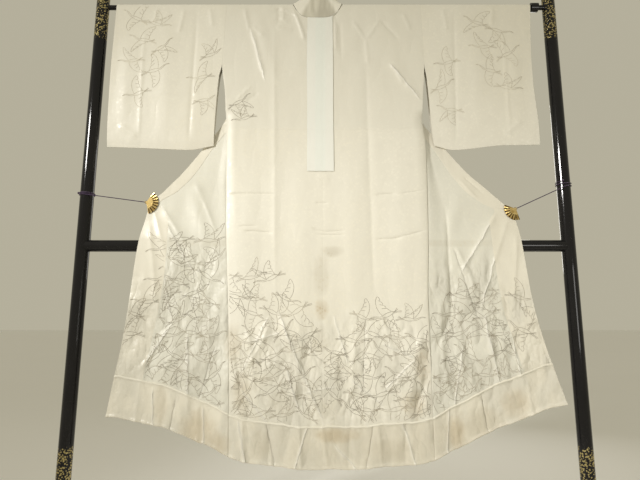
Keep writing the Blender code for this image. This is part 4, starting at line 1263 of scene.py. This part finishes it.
def printed_on_front(name, side, stretch, cranes, material):
    def lay(x, z):
        y, out = outer_place(side, x, z)
        near, far = (SIDES[side].sign * (read(OUTLINES[side], column, z) - x) for column in stretch)
        inside = (near < -PANEL_MARGIN) & (far > PANEL_MARGIN) & (z < COLLAR_END_Z[side] - CLIP_MARGIN)
        return y, inside & (z > lifted(BAND_Z, front_lift(side, out)) + BAND_MARGIN)

    return printed(name, cranes, lay, -1, material)


def printed_on_sleeve(name, side, half, material):
    def lay(x, z):
        inner, cuff = (read(SLEEVE_EDGES[side], column, z) for column in ("inner", "cuff"))
        share = (x - inner) / (cuff - inner)
        inside = (share > SLEEVE_MARGIN) & (share < 1 - SLEEVE_MARGIN) & (z < BAR_Z)
        share = np.clip(share, 0.0, 1.0)
        inside &= z > read(SLEEVE_HEMS[side], "z", share) + BOTTOM_MARGIN
        return sleeve_depth(side, half, x, z, share), inside

    return printed(name, SLEEVE_CRANES[side], lay, HALVES[half].faces, material)


class Value:
    """A number that a material works out at each place on a surface."""

    def __init__(self, nodes, socket):
        self.nodes = nodes
        self.socket = socket

    def __add__(self, other):
        return self.nodes.math("ADD", self, other)

    def __sub__(self, other):
        return self.nodes.math("SUBTRACT", self, other)

    def __mul__(self, other):
        return self.nodes.math("MULTIPLY", self, other)

    def __abs__(self):
        return self.nodes.math("ABSOLUTE", self)


class Nodes:
    """A material's nodes. Its places are metres in the model's frame."""

    def __init__(self, name, **settings):
        self.material = bpy.data.materials.new(name)
        self.material.use_nodes = True
        self.tree = self.material.node_tree
        self.shader = self.tree.nodes["Principled BSDF"]
        for socket, value in settings.items():
            self.set(socket.replace("_", " "), value)
        self.place = self.tree.nodes.new("ShaderNodeTexCoord").outputs["Object"]
        parts = self.add("SeparateXYZ", {0: self.place}).outputs
        self.x, self.y, self.z = (Value(self, part) for part in parts)

    def connect(self, value, socket):
        """Gives a socket a worked out value or colour, or a plain one."""
        if isinstance(value, Value):
            value = value.socket
        if isinstance(value, bpy.types.NodeSocket):
            self.tree.links.new(value, socket)
        else:
            socket.default_value = (*value, 1.0) if socket.type == "RGBA" else value

    def set(self, name, value):
        self.connect(value, self.shader.inputs[name])

    def add(self, kind, inputs, **settings):
        node = self.tree.nodes.new("ShaderNode" + kind)
        for key, value in settings.items():
            setattr(node, key, value)
        for key, value in inputs.items():
            self.connect(value, node.inputs[key])
        return node

    def math(self, operation, *values):
        return Value(self, self.add("Math", dict(enumerate(values)), operation=operation).outputs[0])

    def larger(self, *values):
        return self.math("MAXIMUM", *values)

    def span(self, value, start, end, low=0.0, high=1.0):
        """A smooth step from low at start to high at end."""
        inputs = {0: value, 1: start, 2: end, 3: low, 4: high}
        return Value(self, self.add("MapRange", inputs, interpolation_type="SMOOTHSTEP").outputs[0])

    def mix(self, factor, first, second):
        return self.add("Mix", {0: factor, 6: first, 7: second}, data_type="RGBA").outputs[2]

    def stretched(self, stretch):
        return self.add("VectorMath", {0: self.place, 1: stretch}, operation="MULTIPLY").outputs[0]

    def noise(self, scale, detail=2.0, stretch=(1.0, 1.0, 1.0)):
        inputs = {"Vector": self.stretched(stretch), "Scale": scale, "Detail": detail}
        return Value(self, self.add("TexNoise", inputs).outputs[0])

    def cells(self, scale, randomness=1.0, stretch=(1.0, 1.0, 1.0)):
        inputs = {"Vector": self.stretched(stretch), "Scale": scale, "Randomness": randomness}
        return Value(self, self.add("TexVoronoi", inputs).outputs["Distance"])

    def folded(self, scale, stretch):
        """Noise with sharp valleys, as in crumpled cloth."""
        return abs(self.noise(scale, 2.0, stretch) - 0.5)

    def ripple(self, value, period):
        """A sine along a value in metres, from 0 to 1."""
        return self.math("SINE", value * (2 * math.pi / period)) * 0.5 + 0.5

    def weave(self):
        return self.ripple(self.x, WEAVE_PERIOD) * self.ripple(self.z, WEAVE_PERIOD)

    def paint(self, colour, roughness, height, relief_depth):
        """Sets the colour and roughness, and a height from 0 to 1 that is this deep in metres."""
        bump = self.add("Bump", {"Height": height, "Distance": relief_depth, "Strength": 1.0})
        self.set("Base Color", colour)
        self.set("Roughness", roughness)
        self.set("Normal", bump.outputs[0])
        return self.material


def shaded(tone, factor):
    return tuple(channel * factor for channel in tone)


def zoned(nodes, colour, zones):
    """The colour with each zone's painted shade between its two heights."""
    for zone in zones:
        top = nodes.span(nodes.z, zone.z_top + zone.soft, zone.z_top - zone.soft)
        low = nodes.span(nodes.z, zone.z_low - zone.soft, zone.z_low + zone.soft)
        colour = nodes.mix(top * low * zone.strength, colour, zone.colour)
    return colour


def stained_and_shaded(nodes, colour, marks):
    """The colour with oval stains and painted shadows that have ragged edges."""
    ragged = nodes.noise(30.0, 4.0) * 1.1
    for mark in marks:
        across = (nodes.x - mark.x) * (1 / mark.half_x)
        down = (nodes.z - mark.z) * (1 / mark.half_z)
        patch = nodes.span(across * across + down * down + ragged, 1.70, 0.45)
        colour = nodes.mix(patch * mark.strength, colour, mark.colour)
    return colour


def damask(nodes):
    """Flowers and leaves on a diagonal lattice, 1 on the figure and 0 off it."""
    flat = (1.0, 0.0, 1.0)
    rising = nodes.ripple(nodes.x + nodes.z, DAMASK_PERIOD)
    falling = nodes.ripple(nodes.x - nodes.z, DAMASK_PERIOD)
    lattice = nodes.span(nodes.larger(rising, falling), 0.80, 0.95) * 0.6
    flowers = nodes.span(nodes.cells(16.0, 0.55, flat) + nodes.cells(75.0) * 0.30, 0.46, 0.40)
    leaves = nodes.span(nodes.cells(92.0, 1.0, flat), 0.30, 0.42, 0.0, 0.9)
    return nodes.larger(nodes.larger(lattice, flowers), leaves)


def pressed(nodes, line, sway):
    """A thin pressed line, 1 along its crest and 0 away from it."""
    run_x, run_z = line.x_low - line.x_top, line.z_low - line.z_top
    length = math.hypot(run_x, run_z)
    x, z = nodes.x - line.x_top, nodes.z - line.z_top
    aside = x * (run_z / length) - z * (run_x / length) + sway
    along = x * (run_x / length**2) + z * (run_z / length**2)
    crest = nodes.math("EXPONENT", abs(aside) * (-1 / line.half_width))
    return nodes.span(along, 0.0, 0.15) * nodes.span(along, 1.0, 0.85) * crest


def silk(name, tone, marks=(), zones=(), figure=1.0, crumple_z=0.0, lines=(), crumpled=1.0):
    """Figured silk: cloudy and a little yellowed, with a damask, a fine weave, slight puckers and thin
    pressed lines, which have a painted highlight along their raised crests. Lower down, below a given height,
    it is crumpled and greyer, with patches of painted shade."""
    nodes = Nodes(name, Sheen_Weight=0.12, Sheen_Roughness=0.4, Specular_IOR_Level=0.5)
    cloud = nodes.span(nodes.noise(3.2, 4.0, (1.0, 1.0, 0.7)), 0.36, 0.66)
    colour = nodes.mix(cloud, [c * f for c, f in zip(tone, YELLOWED)], tone)
    speckle = nodes.span(nodes.noise(34.0, 5.0), 0.54, 0.74)
    colour = nodes.mix(speckle * 0.20, colour, shaded(tone, 0.80))
    # Lower down: crumples in the bump, and patches of painted shade in the colour
    edge = nodes.noise(7.0, 3.0) * 0.24 - 0.12
    worn = nodes.span(nodes.z + edge, crumple_z, crumple_z - 0.11)
    patches = nodes.span(nodes.noise(13.0, 4.0, (1.0, 1.0, 0.6)), 0.44, 0.60) * 0.62 + 0.10
    colour = nodes.mix(worn * patches, colour, CRUMPLE_SHADE)
    colour = stained_and_shaded(nodes, zoned(nodes, colour, zones), marks)
    woven = damask(nodes) * figure
    colour = nodes.mix(woven * 0.45, colour, shaded(tone, 0.90))
    crumple = nodes.folded(7.0, (1.0, 1.0, 0.45)) * 22.0
    crumple += nodes.folded(17.0, (1.0, 1.0, 0.50)) * 11.0
    crumple += nodes.folded(38.0, (1.0, 1.0, 0.7)) * 3.6
    height = nodes.noise(9.0, 2.0, (1.0, 1.0, 0.6)) * 1.6 + nodes.folded(13.0, (1.0, 1.0, 0.4)) * 2.2
    height += crumple * worn * crumpled
    height += woven * 0.02 + nodes.weave() * 0.012
    sway = nodes.noise(24.0, 3.0) * 0.012 - 0.006
    for line in lines:
        crest = pressed(nodes, line, sway)
        height += crest * (line.height / PUCKER_DEPTH)
        # A raised line's crest is painted lighter: a painted highlight
        if line.height > 0:
            colour = nodes.mix(crest * 0.55, colour, CREST_HIGHLIGHT)
    return nodes.paint(colour, woven * 0.16 + 0.30, height, PUCKER_DEPTH)


def nape_silk(name):
    """The collar behind the neck, in painted shade: greyer in the middle where it stands, with streaks of
    painted shade for its folds, and lighter, its plain ivory, where it turns over the bar.
    """
    nodes = Nodes(name, Sheen_Weight=0.12, Sheen_Roughness=0.4, Specular_IOR_Level=0.45)
    spread = (nodes.z - NAPE_SHADE_Z) * 0.5
    side = nodes.span(abs(nodes.x - NAPE_SHADE_X) + spread, 0.025, 0.041)
    fold = nodes.noise(48.0, 3.0, (1.0, 1.0, 0.15))
    colour = nodes.mix(side, nodes.mix(nodes.span(fold, 0.35, 0.65), *NAPE_SHADE), IVORY)
    return nodes.paint(colour, fold * 0.15 + 0.40, fold * 1.2 + nodes.noise(30.0, 3.0) * 0.5, PUCKER_DEPTH)


def strip_silk(name):
    """Plain white silk with a visible weave, creased a little and cooler down its middle."""
    nodes = Nodes(name, Sheen_Weight=0.10, Sheen_Roughness=0.5, Specular_IOR_Level=0.35)
    cloud = nodes.span(nodes.noise(7.0, 5.0, (1.0, 1.0, 0.5)), 0.34, 0.68)
    middle = nodes.span(abs(nodes.x - STRIP_MIDDLE_X), 0.020, 0.010, 0.0, 0.5)
    colour = nodes.mix(middle, nodes.mix(cloud, shaded(WHITE, 0.95), WHITE), COOL_WHITE)
    slub = nodes.span(nodes.noise(130.0, 2.0, (1.0, 1.0, 0.08)), 0.55, 0.75)
    colour = nodes.mix(slub * 0.25, colour, shaded(WHITE, 0.90))
    height = nodes.noise(15.0, 3.0, (0.5, 1.0, 1.0)) + nodes.noise(60.0, 3.0, (1.0, 1.0, 0.4)) * 0.15
    return nodes.paint(colour, slub * 0.1 + 0.6, height + nodes.weave() * 0.02, PUCKER_DEPTH)


def ink(name, tones):
    nodes = Nodes(name, Specular_IOR_Level=0.3)
    fade = nodes.span(nodes.noise(18.0, 4.0), 0.36, 0.66)
    return nodes.paint(nodes.mix(fade, *tones), fade * 0.15 + 0.6, nodes.noise(900.0), FINE_DEPTH)


def lacquer(name, gold_ends):
    """Black gloss lacquer, polished by hand, with gold foliage on the posts' ends."""
    nodes = Nodes(name, Coat_Weight=0.2, Coat_Roughness=0.05, Specular_IOR_Level=0.22)
    cloud = nodes.noise(11.0, 3.0)
    colour = nodes.mix(cloud, *LACQUER)
    roughness = nodes.noise(420.0, 3.0, (1.0, 1.0, 0.06)) * 0.06 + 0.06
    height = nodes.noise(70.0, 2.0)
    if gold_ends:
        level = nodes.z + nodes.ripple(nodes.x + nodes.y, 0.011) * 0.008
        ends = nodes.span(level, GOLD_TOP_Z, GOLD_TOP_Z + GOLD_EDGE)
        ends += nodes.span(level, GOLD_LOW_Z, GOLD_LOW_Z - GOLD_EDGE)
        leaves = ends * nodes.span(nodes.cells(190.0) + nodes.noise(60.0, 4.0) * 0.8, 0.86, 0.74)
        colour = nodes.mix(leaves, colour, nodes.mix(cloud, *GOLD_LEAF))
        roughness += leaves * 0.18
        height += leaves * 2.0
        nodes.set("Metallic", leaves * 0.8)
    return nodes.paint(colour, roughness, height, LACQUER_DEPTH)


def gold(name, fan=None):
    """Gilt metal, with tarnish in the grooves of a fan that opens from its pin."""
    nodes = Nodes(name, Metallic=1.0)
    worn = nodes.span(nodes.noise(160.0, 4.0), 0.35, 0.70)
    colour = nodes.mix(worn, *GILT)
    roughness = worn * -0.12 + 0.36
    if fan:
        across = nodes.x - fan.x
        up = nodes.z - fan.z
        angle = nodes.math("ARCTAN2", across * fan.facing, up)
        rib = nodes.ripple(angle, math.radians(fan.spread) / fan.ribs)
        reach = nodes.math("SQRT", across * across + up * up)
        outer = nodes.span(reach, fan.length * 0.46, fan.length * 0.60)
        groove = nodes.span(rib, 0.50, 0.20) * outer
        colour = nodes.mix(groove, colour, TARNISH)
        roughness += groove * 0.25
    return nodes.paint(colour, roughness, nodes.noise(700.0, 3.0), FINE_DEPTH)


def braid(name):
    """A dark purple cord of twisted silk, with painted shade in the grooves between its strands."""
    nodes = Nodes(name, Sheen_Weight=0.3, Sheen_Roughness=0.4)
    strand = nodes.ripple(nodes.x + nodes.y * 1.4 + nodes.z * 1.7, STRAND_PERIOD)
    worn = nodes.noise(240.0, 3.0)
    # The colour follows the strands' relief, darker in the grooves: painted shade
    colour = nodes.mix(nodes.span(worn, 0.55, 0.80), nodes.mix(strand * 0.8, *PURPLE), PURPLE_WORN)
    return nodes.paint(colour, worn * 0.2 + 0.5, strand, STRAND_DEPTH)


def area_light(name, location, target, size, spread, power):
    light = bpy.data.lights.new(name, "AREA")
    light.size = size
    light.spread = math.radians(spread)
    light.energy = power
    light.color = LIGHT_COLOUR
    obj = link(bpy.data.objects.new(name, light))
    obj.location = location
    obj.rotation_euler = (Vector(target) - Vector(location)).to_track_quat("-Z", "Y").to_euler()
    obj.visible_camera = False


def add_camera():
    camera = bpy.data.cameras.new("camera")
    camera.sensor_width = 36.0
    camera.lens = CAMERA_FOCAL_PIXELS / IMAGE_WIDTH * camera.sensor_width
    camera.shift_x = -CAMERA_OFFSET_PIXELS / IMAGE_WIDTH
    obj = link(bpy.data.objects.new("camera", camera))
    obj.location = CAMERA_PLACE
    obj.rotation_euler = (math.radians(90 + CAMERA_PITCH), 0.0, 0.0)
    bpy.context.scene.camera = obj


def add_stage():
    bpy.context.scene.view_settings.view_transform = "Standard"
    bpy.ops.mesh.primitive_plane_add(size=60.0, location=(0, 0, 0))
    floor = bpy.context.object
    floor.name = "floor"
    nodes = Nodes("floor", Specular_IOR_Level=0.1)
    cloud = nodes.noise(1.2, 4.0)
    colour = nodes.mix(cloud, shaded(FLOOR, 0.97), FLOOR)
    floor.data.materials.append(nodes.paint(colour, cloud + 0.4, nodes.noise(180.0), FLOOR_DEPTH))
    world = bpy.data.worlds.new("studio")
    bpy.context.scene.world = world
    world.use_nodes = True
    background = world.node_tree.nodes["Background"]
    background.inputs["Color"].default_value = (*BACKDROP, 1.0)
    for light in LIGHTS:
        area_light(*light)


def dress_hardware():
    """Gives the stand, the clips and the cords, whose solids are shown as they are, their materials."""
    plain = lacquer("lacquer", False)
    looks = {"post": lacquer("lacquer_and_gold", True), "foot": plain, "bar": plain, "clip": gold("gilt")}
    looks["cord"] = braid("purple_braid")
    fans = {f"clip_{side}_leaf": gold(f"gilt_fan_{side}", FANS[side]) for side in SIDES}
    for name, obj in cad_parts.items():
        material = fans.get(name) or looks.get(name.split("_")[0])
        if material:
            obj.data.materials.clear()
            obj.data.materials.append(material)


def main():
    add_camera()
    add_stage()
    finish = {
        "back": silk("silk_back", IVORY, BACK_STAINS_AND_SHADOWS, (LINING_ZONE,), crumple_z=0.66, lines=BACK_LINES),
        "sleeve": silk("silk_sleeve", IVORY),
        # The side panels' silk is made darker, painted shade, and carries the middle bar's painted shadow
        "side": silk("silk_side", SIDE_SHADE, BACK_STAINS_AND_SHADOWS, (BAR_ZONE,), crumple_z=0.84, lines=SIDE_LINES),
        "band": silk("silk_band", WARM, figure=0.4, crumple_z=0.75),
        "hem": silk("silk_hem", AGED, HEM_STAINS, figure=0.3, crumple_z=1.0, lines=HEM_LINES, crumpled=0.6),
        # The hem's rolled upper seam takes the lighter ivory, a painted highlight along the roll
        "edging": silk("silk_edging", IVORY, HEM_STAINS[2:3], figure=0.2),
        "nape": nape_silk("silk_nape"),
        "strip": strip_silk("silk_strip"),
        "ink": ink("ink", INK),
        "pale_ink": ink("pale_ink", PALE_INK),
    }
    add_backs(finish)
    add_fronts(finish)
    add_sleeves(finish)
    add_nape(finish)
    dress_hardware()


main()
